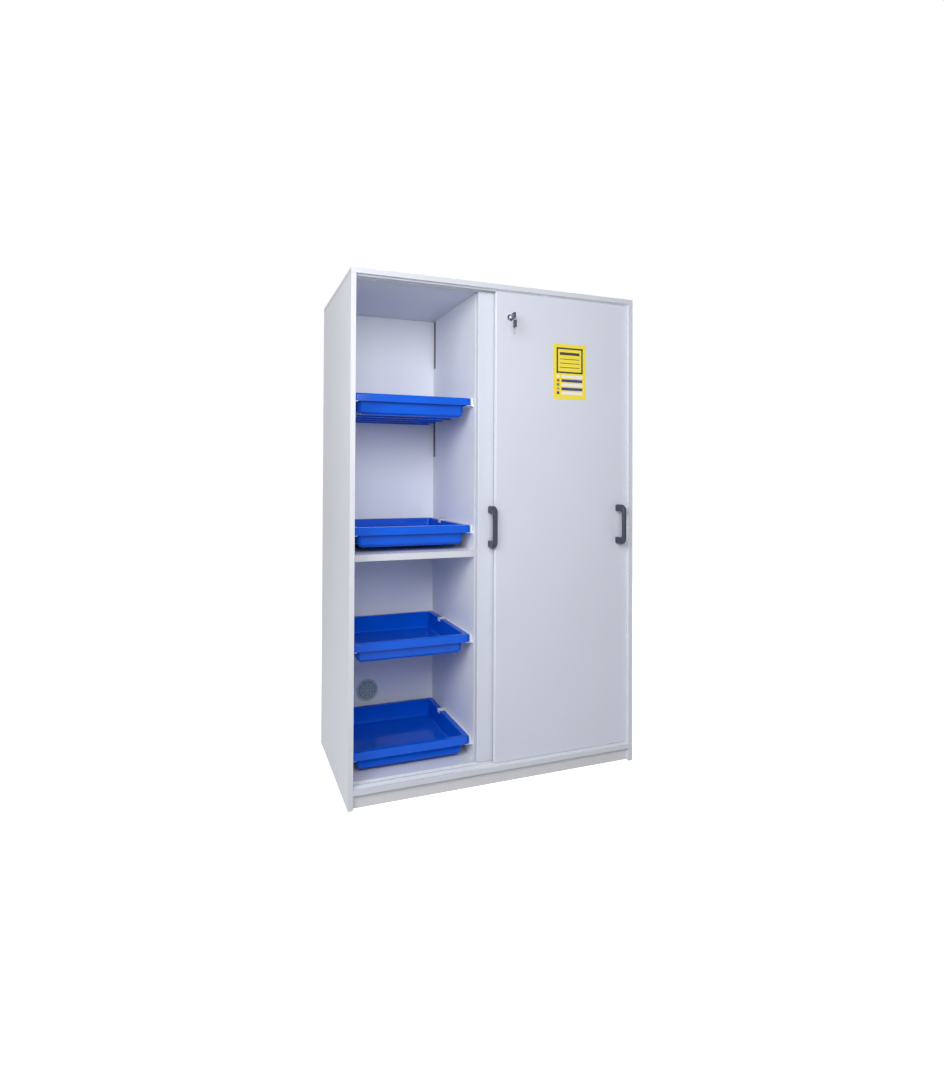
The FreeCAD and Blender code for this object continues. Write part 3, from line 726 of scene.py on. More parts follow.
class CABINET_OT_boards(bpy.types.Operator):
    """Adds the boards of the carcass"""

    bl_idname = "cabinet.boards"
    bl_label = "Add the boards"

    def execute(self, context):
        size = sizes()
        edge = size.board_edge
        outlet = box_centre("exhaust_collar")
        hole = add_rod("cutter", (outlet.x, outlet.y, ceiling_z - OVERRUN), (outlet.x, outlet.y, cad_high.z),
                       size.outlet_hole, 64)
        grille_z = box_centre("vent_grilles").z
        holes = [add_rod("cutter", (x, back_face_y - OVERRUN, grille_z), (x, -front_y, grille_z),
                         size.grille_hole, 64) for x in grille_places()]
        # The boards inside take the brighter melamine: painted light.
        outer, inner = "white_melamine", "painted_light_inner_melamine"
        boards = [
            ("left_side_panel", X_AXIS, (), outer, "edge_band"),
            ("right_side_panel", X_AXIS, (), outer, "edge_band"),
            ("top_panel", Z_AXIS, [hole], outer, "edge_band"),
            ("bottom_panel", Z_AXIS, (), outer, "edge_band"),
            ("back_panel", Y_AXIS, holes, inner, "edge_band"),
            # The dividers and the column front take the lighter band: painted light on their shaded edges.
            ("left_divider", X_AXIS, slot_cutters("left_divider"), inner, "painted_light_band"),
            ("right_divider", X_AXIS, slot_cutters("right_divider"), inner, "painted_light_band"),
            ("column_front_panel", Y_AXIS, (), outer, "painted_light_band"),
            ("plinth_brace", X_AXIS, (), outer, "edge_band"),
            ("left_shelf", Z_AXIS, (), inner, "edge_band"),
            ("right_shelf", Z_AXIS, (), inner, "edge_band"),
        ]
        for node, axis, cutters, finish, band in boards:
            board = board_from_node(node, axis, edge, cutters, finish, band)
            if node == "back_panel":
                # Paints the air column's shade onto the back panel's front between the dividers.
                self.paint_column_shade(board)
            mount(board, "cabinet", "carcass_board", node)
        low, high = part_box("plinth_boards")
        for name, y in (("front", low.y), ("back", high.y - size.plinth_board)):
            corner = Vector((low.x, y, low.z))
            end = Vector((high.x, y + size.plinth_board, high.z))
            board = make_board("plinth_%s_board" % name, corner, end, Y_AXIS)
            # The plinth boards take the darker melamine: painted shade.
            finish_board(board, corner, end, Y_AXIS, edge, "shaded_plinth_melamine", "edge_band")
            mount(board, "cabinet", "carcass_board", "plinth_boards")
        pins = copy_node("shelf_pins", "shelf_pin_set", 0.4 * MM)
        mount(paint(pins, "zinc"), "cabinet", "screw_steel", "shelf_pins")
        screw = screw_head(3.8 * MM, 1.2 * MM)
        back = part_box("back_panel")
        side_inset, end_inset, rows, divider_x = 12 * MM, 40 * MM, 7, 76 * MM
        pitch = (back[1].z - back[0].z - 2 * end_inset) / (rows - 1)
        places = [((x, back[1].y, back[0].z + end_inset + step * pitch), (TO_BACK[0], 0.4 * step + 9 * x, 0))
                  for x in (back[0].x + side_inset, -divider_x, divider_x, back[1].x - side_inset)
                  for step in range(rows)]
        mount(repeat(screw, "back_panel_screw_heads", places), "cabinet", "screw_steel")
        bpy.data.objects.remove(screw)
        return {"FINISHED"}

    def paint_column_shade(self, board):
        """The front of the back panel between the dividers is painted dark grey with a board grain: painted shade for
        the dim air column seen through the slots.
        """
        open_mesh(board)
        for x in (divider_left, -divider_left):
            split_mesh((x, 0, 0), (1, 0, 0))
        close_mesh()
        board.data.materials.append(bpy.data.materials["painted_column_shade"])
        paint_faces(board, 2, lambda face: abs(face.center.x) < -divider_left and face.normal.y < -0.5)
        smooth(board)


# Screws


def screw_head(radius, height):
    """A domed head with a cross recess, standing on z = 0 and looking up."""
    profile = [(0, -0.2 * MM), (radius, -0.2 * MM), (radius, 0.3 * height), (0.86 * radius, 0.7 * height),
               (0.6 * radius, 0.95 * height), (0, height)]
    head = turn("screw_head", profile, 24)
    arm, half = 0.55 * radius, 0.11 * radius
    cut_out(head,
            add_block("cutter", (-arm, -half, 0.35 * height), (arm, half, 2 * height)),
            add_block("cutter", (-half, -arm, 0.35 * height), (half, arm, 2 * height)))
    paint(head, "zinc", "painted_recess_shade")
    # The faces of the cross recess get the near black: painted shade.
    paint_faces(head, 1, lambda face: face.center.xy.length < 0.6 * radius and (
        abs(face.normal.z) < 0.3 or face.center.z < 0.4 * height and face.normal.z > 0.9))
    smooth(head)
    return head


# Tracks


def make_track(node, name, up):
    """A track bent from one sheet: a base with two pairs of ribs."""
    size = sizes()
    low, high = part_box(node)
    base = size.track_base
    if up > 0:
        plate = add_block(name, low, (high.x, high.y, low.z + base))
        face_z, rise = low.z + base, high.z - low.z - base
    else:
        plate = add_block(name, (low.x, low.y, high.z - base), high)
        face_z, rise = high.z - base, low.z - high.z + base
    lanes = [(door[0].y + door[1].y) / 2 for door in (front_door, rear_door)]
    ribs = []
    for lane in lanes:
        for start in (lane - size.track_channel / 2 - size.track_rib, lane + size.track_channel / 2):
            ribs.append((start, start + size.track_rib))
    open_mesh(plate)
    for rib in ribs:
        for y in rib:
            split_mesh((0, y, 0), (0, 1, 0))
    for start, end in ribs:
        pick("FACE", lambda face: abs(face.calc_center_median().z - face_z) < NEAR
             and abs(face.normal.z) > 0.9 and start < face.calc_center_median().y < end)
        extrude_picked((0, 0, rise))
    face_outwards()
    close_mesh()
    ease_edges(plate, 0.35 * MM, 3)
    smooth(plate)
    return mount(paint(plate, "white_lacquer"), "cabinet", "track_aluminium", node)


class CABINET_OT_tracks(bpy.types.Operator):
    """Adds the tracks under and over the doors"""

    bl_idname = "cabinet.tracks"
    bl_label = "Add the tracks"

    def execute(self, context):
        make_track("bottom_track", "bottom_track_profile", 1)
        make_track("top_track", "top_track_profile", -1)
        return {"FINISHED"}


# Doors


def handle_screw_spots(node):
    """Where the two screws of a handle come out at the back of its door."""
    low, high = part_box(node)
    x = (low.x + high.x) / 2
    return [(x, high.y, z) for z in (low.z + HANDLE_SCREW_RADIUS, high.z - HANDLE_SCREW_RADIUS)]


def make_door(node):
    """A door with pockets for its wheels, guides, screws and lock."""
    low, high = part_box(node)
    slack = 0.1 * MM
    door = make_board(node + "_board", low, high, Y_AXIS)
    cutters = []
    guide_width, guide_pocket, housing_width = 40 * MM, 15 * MM, 60 * MM
    for part in ("_roller_housings", "_top_guides"):
        gear_low, gear_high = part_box(node + part)
        top = part == "_top_guides"
        width = guide_width if top else housing_width
        start = high.z - guide_pocket if top else low.z - OVERRUN
        end = high.z + OVERRUN if top else gear_high.z
        for x in (gear_low.x, gear_high.x - width):
            cutters.append(add_block("cutter", (x, gear_low.y, start), (x + width, gear_high.y, end)))
    sink = 3 * MM
    for x, _, z in handle_screw_spots(node + "_handle_screws"):
        cutters.append(add_rod("cutter", (x, high.y - sink, z), (x, high.y + OVERRUN, z),
                               HANDLE_SCREW_RADIUS + slack))
    if node == "front_door":
        centre = box_centre("lock_housing")
        cutters.append(add_rod("cutter", (centre.x, low.y - OVERRUN, centre.z),
                               (centre.x, high.y + OVERRUN, centre.z), LOCK_TUBE_RADIUS - slack, 48))
    cut_out(door, *cutters)
    # The door's edges take the lighter band: painted light.
    finish_board(door, low, high, Y_AXIS, sizes().door_edge, "door_melamine", "painted_light_band")
    return mount(door, node, "door_board", node)


class CABINET_OT_doors(bpy.types.Operator):
    """Adds the two sliding doors"""

    bl_idname = "cabinet.doors"
    bl_label = "Add the doors"

    def execute(self, context):
        for node in DOORS:
            make_door(node)
        return {"FINISHED"}


class CABINET_OT_door_gear(bpy.types.Operator):
    """Adds the doors' wheels with their housings, and the top guides"""

    bl_idname = "cabinet.door_gear"
    bl_label = "Add the door gear"

    def execute(self, context):
        size = sizes()
        wheel = make_wheel("wheel", size.wheel_radius, size.wheel_width, 2.05 * MM, "nylon")
        for door in DOORS:
            for part, name, edge in (("_roller_housings", "_wheel_housings", 0.4 * MM),
                                     ("_top_guides", "_guide_pins", 0.5 * MM)):
                gear = copy_node(door + part, door + name, edge)
                mount(paint(gear, "grey_gear_plastic"), door, "gear_plastic", door + part)
            for side in ("left", "right"):
                node = "%s_%s_wheel" % (door, side)
                tyre = place(copy_piece(wheel, node + "_tyre"), box_centre(node), TO_FRONT)
                mount(tyre, node, "roller_nylon", node)
        bpy.data.objects.remove(wheel)
        return {"FINISHED"}


def make_wheel(name, radius, width, bore, finish):
    """A moulded wheel about the Z axis: a tyre, a thinner web with a round dish, and a hub."""
    half = width / 2
    web = 0.28 * width
    hub = bore + 0.16 * radius
    dish = 0.8 * radius
    edge = 0.09 * radius
    upper = [
        (bore, 0.96 * half), (hub, 0.96 * half), (hub + 0.03 * radius, web), (dish - 0.05 * radius, web),
        (dish, 0.92 * half), (dish + 0.03 * radius, half), (radius - edge, half),
        (radius - 0.3 * edge, half - 0.3 * edge), (radius, half - edge),
    ]
    lower = [(r, -z) for r, z in reversed(upper)]
    wheel = turn(name, upper + lower + [upper[0]], 48)
    smooth(wheel, 40)
    return paint(wheel, finish)


# Handles


def make_handle(node, door):
    """A bridge handle: a bar with two feet, all corners rounded."""
    size = sizes()
    inner_edge, last_edge = 2 * MM, 0.9 * MM
    low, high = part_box(node)
    bar = add_block(node + "_bridge", low, (high.x, low.y + size.grip, high.z))
    open_mesh(bar)
    for z in (low.z + size.foot, high.z - size.foot):
        split_mesh((0, 0, z), (0, 0, 1))
    pick("FACE", lambda face: face.normal.y > 0.9
         and not low.z + size.foot < face.calc_center_median().z < high.z - size.foot)
    extrude_picked((0, high.y - low.y - size.grip, 0))
    select_everything()
    bpy.ops.mesh.dissolve_limited(angle_limit=math.radians(1))
    pick("EDGE", lambda edge: along(edge, X_AXIS) and abs(middle(edge).y - low.y) < NEAR
         and min(middle(edge).z - low.z, high.z - middle(edge).z) < NEAR)
    bevel_picked(size.grip_outside, 14)
    pick("EDGE", lambda edge: along(edge, X_AXIS) and abs(middle(edge).y - low.y - size.grip) < NEAR
         and low.z + size.grip / 2 < middle(edge).z < high.z - size.grip / 2)
    bevel_picked(size.grip_inside, 10)
    select_everything()
    bpy.ops.mesh.remove_doubles(threshold=0.01 * MM)

    def is_corner(edge):
        return is_sharp(edge) and middle(edge).y < high.y - 0.05 * MM

    def is_outside(edge):
        """Along the bow's outer face: its front, its ends or the arcs between them."""
        point = middle(edge)
        end = min(point.z - low.z, high.z - point.z)
        if point.y > low.y + size.grip_outside:
            return end < NEAR
        if end > size.grip_outside:
            return point.y < low.y + NEAR
        reach = math.hypot(low.y + size.grip_outside - point.y, size.grip_outside - end)
        return reach > size.grip_outside - MM

    pick("EDGE", lambda edge: is_corner(edge) and is_outside(edge))
    bevel_picked(size.grip_edge, 1)
    pick("EDGE", lambda edge: is_corner(edge) and not is_outside(edge))
    bevel_picked(inner_edge, 3)
    close_mesh()
    ease_edges(bar, last_edge, 2, 25)
    smooth(bar, 30)
    return mount(paint(bar, "dark_handle_plastic"), door, "handle_plastic", node)


class CABINET_OT_handles(bpy.types.Operator):
    """Adds the bridge handles with their screws"""

    bl_idname = "cabinet.handles"
    bl_label = "Add the handles"

    def execute(self, context):
        head = screw_head(4 * MM, 1.4 * MM)
        for door in DOORS:
            make_handle(door + "_handle", door)
            node = door + "_handle_screws"
            places = [((x, y - 2 * MM, z), (TO_BACK[0], 0.5, 0)) for x, y, z in handle_screw_spots(node)]
            mount(repeat(head, door + "_handle_screw_heads", places), door, "screw_steel", node)
        bpy.data.objects.remove(head)
        return {"FINISHED"}


# The lock and its keys


class CABINET_OT_lock(bpy.types.Operator):
    """Adds the push lock in the front door"""

    bl_idname = "cabinet.lock"
    bl_label = "Add the lock"

    def execute(self, context):
        barrel = sizes().lock_radius
        low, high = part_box("lock_housing")
        centre = (low + high) / 2
        depth = high.y - low.y
        tube_radius = LOCK_TUBE_RADIUS
        rim = [(barrel + 0.1 * MM, 0), (tube_radius, 0), (tube_radius, depth - 2 * MM), (12.6 * MM, depth - 2 * MM),
               (13 * MM, depth - 1.6 * MM), (13 * MM, depth - 0.9 * MM), (12.2 * MM, depth - 0.2 * MM),
               (11.4 * MM, depth), (9.2 * MM, depth), (barrel + 0.1 * MM, depth - 0.8 * MM), (barrel + 0.1 * MM, 0)]
        housing = turn("lock_rosette", rim, 64)
        smooth(housing, 40)
        place(housing, (centre.x, high.y, centre.z), TO_FRONT)
        mount(paint(housing, "dark_steel"), "front_door", "lock_chrome", "lock_housing")

        low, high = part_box("lock_barrel")
        depth = high.y - low.y
        core_radius = 5.05 * MM
        bore = high.y - 4 * MM - low.y
        outline = [(0, 0), (barrel - 0.4 * MM, 0), (barrel, 0.4 * MM), (barrel, depth - 1.1 * MM),
                   (barrel - 0.3 * MM, depth - 0.4 * MM), (barrel - 1.0 * MM, depth), (core_radius + 0.3 * MM, depth),
                   (core_radius, depth - 0.3 * MM), (core_radius, depth - bore), (0, depth - bore)]
        tube = turn("lock_push_barrel", outline, 64)
        smooth(tube, 40)
        place(tube, (centre.x, high.y, centre.z), TO_FRONT)
        mount(paint(tube, "satin_chrome"), "lock_barrel", "lock_chrome", "lock_barrel")

        low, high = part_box("lock_core")
        depth = high.y - low.y
        radius = 4.95 * MM
        outline = [(0, 0), (radius, 0), (radius, depth - 0.5 * MM), (radius - 0.5 * MM, depth - 0.1 * MM),
                   (0, depth - 0.1 * MM)]
        core = turn("lock_plug", outline, 48)
        place(core, (centre.x, high.y, centre.z), TO_FRONT)
        cut_out(core, add_block("cutter", (centre.x - 1.0 * MM, low.y - 5 * MM, centre.z - 3.6 * MM),
                                (centre.x + 1.0 * MM, high.y - 5 * MM, centre.z + 3.6 * MM)))
        smooth(core, 40)
        mount(paint(core, "nickel"), "key", "key_steel", "lock_core")
        return {"FINISHED"}


def make_key(name):
    """A key with its blade's root at the origin, the blade along +Y and the covered head along -Y."""
    size = sizes()
    half, thick = size.key_width / 2, size.key_thickness / 2
    head = add_block(name, (-thick, -size.key_head, -half), (thick, 0, half))
    open_mesh(head)
    pick("EDGE", lambda edge: along(edge, X_AXIS))
    bevel_picked(5 * MM, 8)
    close_mesh()
    eye_y, beside, groove_x = 6 * MM - size.key_head, 9 * MM, thick - 0.35 * MM
    cut_out(head, add_rod("cutter", (-beside, eye_y, 0), (beside, eye_y, 0), 4 * MM, 40))
    for side in (-1, 1):
        low = (min(side * groove_x, side * beside), -0.6 * size.key_head, -4 * MM)
        high = (max(side * groove_x, side * beside), -0.12 * size.key_head, 4 * MM)
        cut_out(head, add_block("cutter", low, high))
    ease_edges(head, 0.7 * MM, 3, 60)
    paint(head, "black_key_plastic", "grey_key_stripe")
    paint_faces(head, 1, lambda face: abs(abs(face.center.x) - groove_x) < 0.06 * MM
                and abs(face.normal.x) > 0.9)
    smooth(head)
    blade = add_block("blade", (-0.9 * MM, -2 * MM, -3.5 * MM), (0.9 * MM, 28 * MM, 3.5 * MM))
    open_mesh(blade)
    pick("EDGE", lambda edge: along(edge, X_AXIS) and middle(edge).y > 27 * MM)
    bevel_picked(1.8 * MM, 1)
    close_mesh()
    cuts = []
    for place_y, depth in ((8, 1.2), (12, 2.0), (16, 0.9), (20, 1.7), (24, 1.3)):
        for side in (-1, 1):
            deselect()
            bpy.ops.mesh.primitive_cylinder_add(vertices=3, radius=depth * MM * 1.2, depth=9 * MM,
                                                location=(0, place_y * MM, side * 3.5 * MM),
                                                rotation=(0, math.radians(90), 0))
            cuts.append(bpy.context.object)
    cut_out(blade, *cuts)
    cut_out(blade, add_block("cutter", (0.4 * MM, 3 * MM, -0.6 * MM), (2 * MM, 40 * MM, 0.7 * MM)))
    paint(blade, "nickel")
    ease_edges(blade, 0.15 * MM, 1, 50)
    smooth(blade)
    return join([head, blade], name)


def make_ring(name):
    """A split ring of two flat turns about the Z axis."""
    degrees, pitch = 700, 0.76 * MM
    deselect()
    bpy.ops.mesh.primitive_plane_add(size=1)
    wire = name_piece(bpy.context.object, name)
    wire.scale = (1.5 * MM, 0.68 * MM, 1)
    wire.rotation_euler = (math.radians(90), 0, 0)
    wire.location = (sizes().ring_radius, 0, -pitch / 2)
    apply_transform()
    open_mesh(wire)
    select_everything()
    bpy.ops.mesh.bevel(offset=0.18 * MM, segments=3, affect="VERTICES")
    close_mesh()
    apply_modifier(wire, "SCREW", axis="Z", angle=math.radians(degrees), screw_offset=pitch * degrees / 360,
                   steps=112, render_steps=112, use_merge_vertices=False)
    open_mesh(wire)
    select_everything()
    bpy.ops.mesh.remove_doubles(threshold=WELD)
    bpy.ops.mesh.select_all(action="DESELECT")
    bpy.ops.mesh.select_mode(type="EDGE")
    bpy.ops.mesh.select_non_manifold()
    bpy.ops.mesh.edge_face_add()
    face_outwards()
    close_mesh()
    low = min(vertex.co.z for vertex in wire.data.vertices)
    high = max(vertex.co.z for vertex in wire.data.vertices)
    place(wire, (0, 0, -(low + high) / 2))
    smooth(wire, 40)
    return paint(wire, "nickel")


class CABINET_OT_keys(bpy.types.Operator):
    """Adds the key in the lock, the ring and the spare key"""

    bl_idname = "cabinet.keys"
    bl_label = "Add the keys"

    def execute(self, context):
        size = sizes()
        centre = box_centre("key")
        key = make_key("covered_key")
        root_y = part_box("key")[0].y + size.key_head
        spare = copy_piece(key, "covered_spare_key")
        place(key, (centre.x, root_y, centre.z))
        mount(key, "key", "key_cover", "key")
        centre = box_centre("spare_key")
        place(spare, (centre.x, centre.y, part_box("spare_key")[1].z - size.key_head), TO_BACK)
        mount(spare, "spare_key", "key_cover", "spare_key")
        ring = make_ring("split_ring")
        place(ring, box_centre("key_ring"), TO_FRONT)
        mount(ring, "key_ring", "key_steel", "key_ring")
        return {"FINISHED"}


# The contents card


class CABINET_OT_card(bpy.types.Operator):
    """Adds the blank contents card on the front door"""

    bl_idname = "cabinet.card"
    bl_label = "Add the contents card"

    def execute(self, context):
        low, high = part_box("label_card")
        card = add_block("contents_card", low, high)
        open_mesh(card)
        pick("EDGE", lambda edge: along(edge, Y_AXIS))
        bevel_picked(3 * MM, 5)
        close_mesh()
        ease_edges(card, 0.12 * MM, 1)
        smooth(card)
        paint(card, "yellow_card")
        mount(card, "front_door", "card_laminate", "label_card")
        width, height = high.x - low.x, high.z - low.z
        marks = []

        def mark(name, left, bottom, right, top, ink, corner=0.8 * MM):
            """A printed field, in shares of the card's width and height."""
            start = (low.x + left * width, low.y - 0.05 * MM, low.z + bottom * height)
            end = (low.x + right * width, low.y + 0.1 * MM, low.z + top * height)
            field = add_block(name, start, end)
            open_mesh(field)
            pick("EDGE", lambda edge: along(edge, Y_AXIS))
            bevel_picked(corner, 3)
            close_mesh()
            marks.append(paint(field, ink))

        for left, bottom, right, top in ((0.10, 0.905, 0.90, 0.935), (0.10, 0.47, 0.90, 0.50),
                                         (0.10, 0.47, 0.145, 0.935), (0.855, 0.47, 0.90, 0.935)):
            mark("frame", left, bottom, right, top, "ink_black")
        mark("heading", 0.20, 0.80, 0.80, 0.85, "ink_black")
        for level in (0.72, 0.645, 0.57):
            mark("rule", 0.20, level, 0.80, level + 0.012, "ink_black", 0.3 * MM)
        for index, ink in enumerate(("ink_white", "ink_red", "ink_green", "ink_rose", "ink_blue")):
            bottom = 0.385 - index * 0.075
            mark("marker", 0.11, bottom, 0.19, bottom + 0.052, ink)
            mark("line", 0.25, bottom, 0.89, bottom + 0.052, "ink_white" if index % 2 == 0 else "ink_blue")
        print_piece = join(marks, "contents_card_print")
        smooth(print_piece)
        mount(print_piece, "front_door", "card_laminate")
        return {"FINISHED"}


# Trays


def make_tray(name):
    """A tray with its rim's top at z = 0, the rim's front at y = 0, and centred on x = 0."""
    size = sizes()
    low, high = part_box("left_tray_1")
    half, depth, height = (high.x - low.x) / 2, high.y - low.y, high.z - low.z
    mouth = size.tray_overhang + size.tray_wall
    floor = size.tray_rib_height + size.tray_wall - height
    lean = -floor / height * size.tray_draft
    middle_y = depth / 2
    shell = add_block(name, (mouth - half, mouth, floor), (half - mouth, depth - mouth, 0))
    open_mesh(shell)
    pick("FACE", lambda face: face.normal.z > 0.9)
    bpy.ops.mesh.delete(type="FACE")
    select_everything()
    bpy.ops.mesh.flip_normals()
    pick("VERT", lambda vertex: vertex.co.z < floor / 2)
    bpy.ops.transform.resize(value=(1 - lean / (half - mouth), 1 - lean / (middle_y - mouth), 1),
                             center_override=(0, middle_y, 0))
    pick("EDGE", lambda edge: abs(edge.verts[0].co.z - edge.verts[1].co.z) > height / 2)
    bevel_picked(size.tray_corner - size.tray_wall, 8)
    pick("EDGE", lambda edge: middle(edge).z < floor + 0.1 * MM and any(
        abs(face.normal.z) < 0.5 for face in edge.link_faces))
    bevel_picked(size.tray_floor, 6)
    pick("EDGE", lambda edge: edge.is_boundary)
    extrude_picked((0, 0, 0))
    bpy.ops.transform.resize(value=(half / (half - mouth), middle_y / (middle_y - mouth), 1),
                             center_override=(0, middle_y, 0))
    extrude_picked((0, 0, -size.tray_rim))
    inner_x, inner_y = half - mouth, middle_y - mouth

    def on_rim(edge):
        return all(abs(vertex.co.z) < NEAR for vertex in edge.verts) and is_sharp(edge)

    def outer(edge):
        point = middle(edge)
        return abs(point.x) > inner_x + 0.5 * mouth or abs(point.y - middle_y) > inner_y + 0.5 * mouth

    pick("EDGE", lambda edge: on_rim(edge) and outer(edge))
    bevel_picked(size.tray_edge, 6)
    pick("EDGE", lambda edge: on_rim(edge) and not outer(edge))
    bevel_picked(size.tray_mouth, 4)
    close_mesh()
    thicken(shell, size.tray_wall)
    ease_edges(shell, 0.5 * MM, 2, 70)
    step = size.tray_overhang + size.tray_draft + size.tray_floor + size.tray_wall
    pitch = (depth - 2 * step - size.tray_rib) / 4
    ribs = []
    for index in range(5):
        y = step + pitch * index
        rib = add_block("rib", (step - half, y, -height), (half - step, y + size.tray_rib, floor - 1.5 * MM))
        ease_edges(rib, 1.2 * MM, 3)
        ribs.append(rib)
    tray = join([shell] + ribs, name)
    smooth(tray, 40)
    return paint(tray, "blue_plastic")


class CABINET_OT_trays(bpy.types.Operator):
    """Adds the eight trays"""

    bl_idname = "cabinet.trays"
    bl_label = "Add the trays"

    def execute(self, context):
        tray = make_tray("tray")
        for name in tray_names:
            low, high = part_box(name)
            left = copy_piece(tray, name + "_shell", ((low.x + high.x) / 2, low.y, high.z))
            mount(left, name, "tray_plastic", name)
            right_name = name.replace("left", "right") + "_shell"
            right = copy_piece(tray, right_name, (-(low.x + high.x) / 2, low.y, high.z))
            mount(right, "cabinet", "tray_plastic", "right_trays")
        bpy.data.objects.remove(tray)
        return {"FINISHED"}


# Slides


class CABINET_OT_slides(bpy.types.Operator):
    """Adds the runners, carriers and rollers of the trays"""

    bl_idname = "cabinet.slides"
    bl_label = "Add the slides"

    def execute(self, context):
        size = sizes()
        for node, name in (("left_tray_runners", "left_runner_profiles"),
                           ("right_tray_runners", "right_runner_profiles"),
                           ("right_tray_carriers", "right_carrier_profiles")):
            self.add_profiles(node, name, "cabinet")
        wheel = make_wheel("wheel", size.roller_radius, size.roller_width, 2.55 * MM, "nylon")
        reach = size.roller_gap + size.roller_width / 2
        left_places = (inner_left + reach, divider_left - reach)
        right_places = (-inner_left - reach, -divider_left + reach)
        sideways = (0, math.radians(90), 0)
        right_rollers = []
        for name in tray_names:
            self.add_profiles(name + "_carriers", name + "_carrier_profiles", name)
            for body in (name + "_front_rollers", name + "_rear_rollers"):
                y, z = box_centre(body).yz
                pair = [((x, y, z), sideways) for x in left_places]
                mount(repeat(wheel, body + "_tyres", pair), body, "roller_nylon", body)
                right_rollers += [((x, y, z), sideways) for x in right_places]
        mount(repeat(wheel, "right_roller_tyres", right_rollers), "cabinet", "roller_nylon", "right_tray_rollers")
        bpy.data.objects.remove(wheel)
        self.add_screws()
        return {"FINISHED"}

    def add_profiles(self, node, name, body):
        """The bent steel profiles of a node."""
        mount(paint(copy_node(node, name, 0.35 * MM), "powder_coat"), body, "slide_steel", node)

    def add_screws(self):
        """The pan heads that hold the runners to the walls."""
        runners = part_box("left_tray_runners")
        first, last = runners[0].y + 60 * MM, runners[1].y - 30 * MM
        head = screw_head(3.5 * MM, 1.6 * MM)
        sheet, drop = 1.5 * MM, 8 * MM
        walls = ((inner_left, 1), (divider_left, -1), (-divider_left, 1), (-inner_left, -1))
        places = [((wall + look * sheet, y, height - drop), (7 * y, math.radians(90 * look), 0))
                  for height in rim_heights for y in (first, (first + last) / 2, last) for wall, look in walls]
        mount(repeat(head, "runner_screw_heads", places), "cabinet", "screw_steel", "runner_screws")
        bpy.data.objects.remove(head)


# Air fittings


def make_grille(name):
    """A round grille about the Z axis, its flange standing on z = 0 and looking up."""
    radius = sizes().grille_radius
    inner = radius - 9 * MM
    flange = turn(name, [
        (inner, -8 * MM), (44 * MM, -8 * MM), (44 * MM, 0), (radius, 0), (radius, 2.2 * MM),
        (radius - 0.8 * MM, 3.4 * MM), (radius - 2 * MM, 4 * MM), (inner + 1 * MM, 4 * MM),
        (inner, 3.2 * MM), (inner, -8 * MM)], 96)
    parts = [flange]
    pitch = (inner - 6 * MM) / 3
    for index in (1, 2):
        centre = 6 * MM + pitch * index
        parts.append(turn("ring", [
            (centre - 2.25 * MM, 1 * MM), (centre + 2.25 * MM, 1 * MM), (centre + 2.25 * MM, 3.2 * MM),
            (centre + 1.5 * MM, 4 * MM), (centre - 1.5 * MM, 4 * MM), (centre - 2.25 * MM, 3.2 * MM),
            (centre - 2.25 * MM, 1 * MM)], 72))
    for index in range(8):
        spoke = add_block("spoke", (4 * MM, -1.5 * MM, 1.1 * MM), (inner + 2 * MM, 1.5 * MM, 3.8 * MM))
        ease_edges(spoke, 0.5 * MM, 2)
        parts.append(place(spoke, (0, 0, 0), (0, 0, math.radians(45 * index))))
    hub = turn("hub", [(0, 1 * MM), (6 * MM, 1 * MM), (6 * MM, 3.4 * MM), (5.2 * MM, 4 * MM), (3 * MM, 4 * MM),
                       (2.4 * MM, 3.6 * MM), (0, 3.4 * MM)], 32)
    for part in parts:
        paint(part, "green_grey_plastic", "nylon")
    paint(hub, "green_grey_plastic", "nylon")
    paint_faces(hub, 1, lambda face: face.center.z > 3.3 * MM and face.normal.z > 0.5)
    grille = join(parts + [hub], name)
    smooth(grille, 40)
    return grille


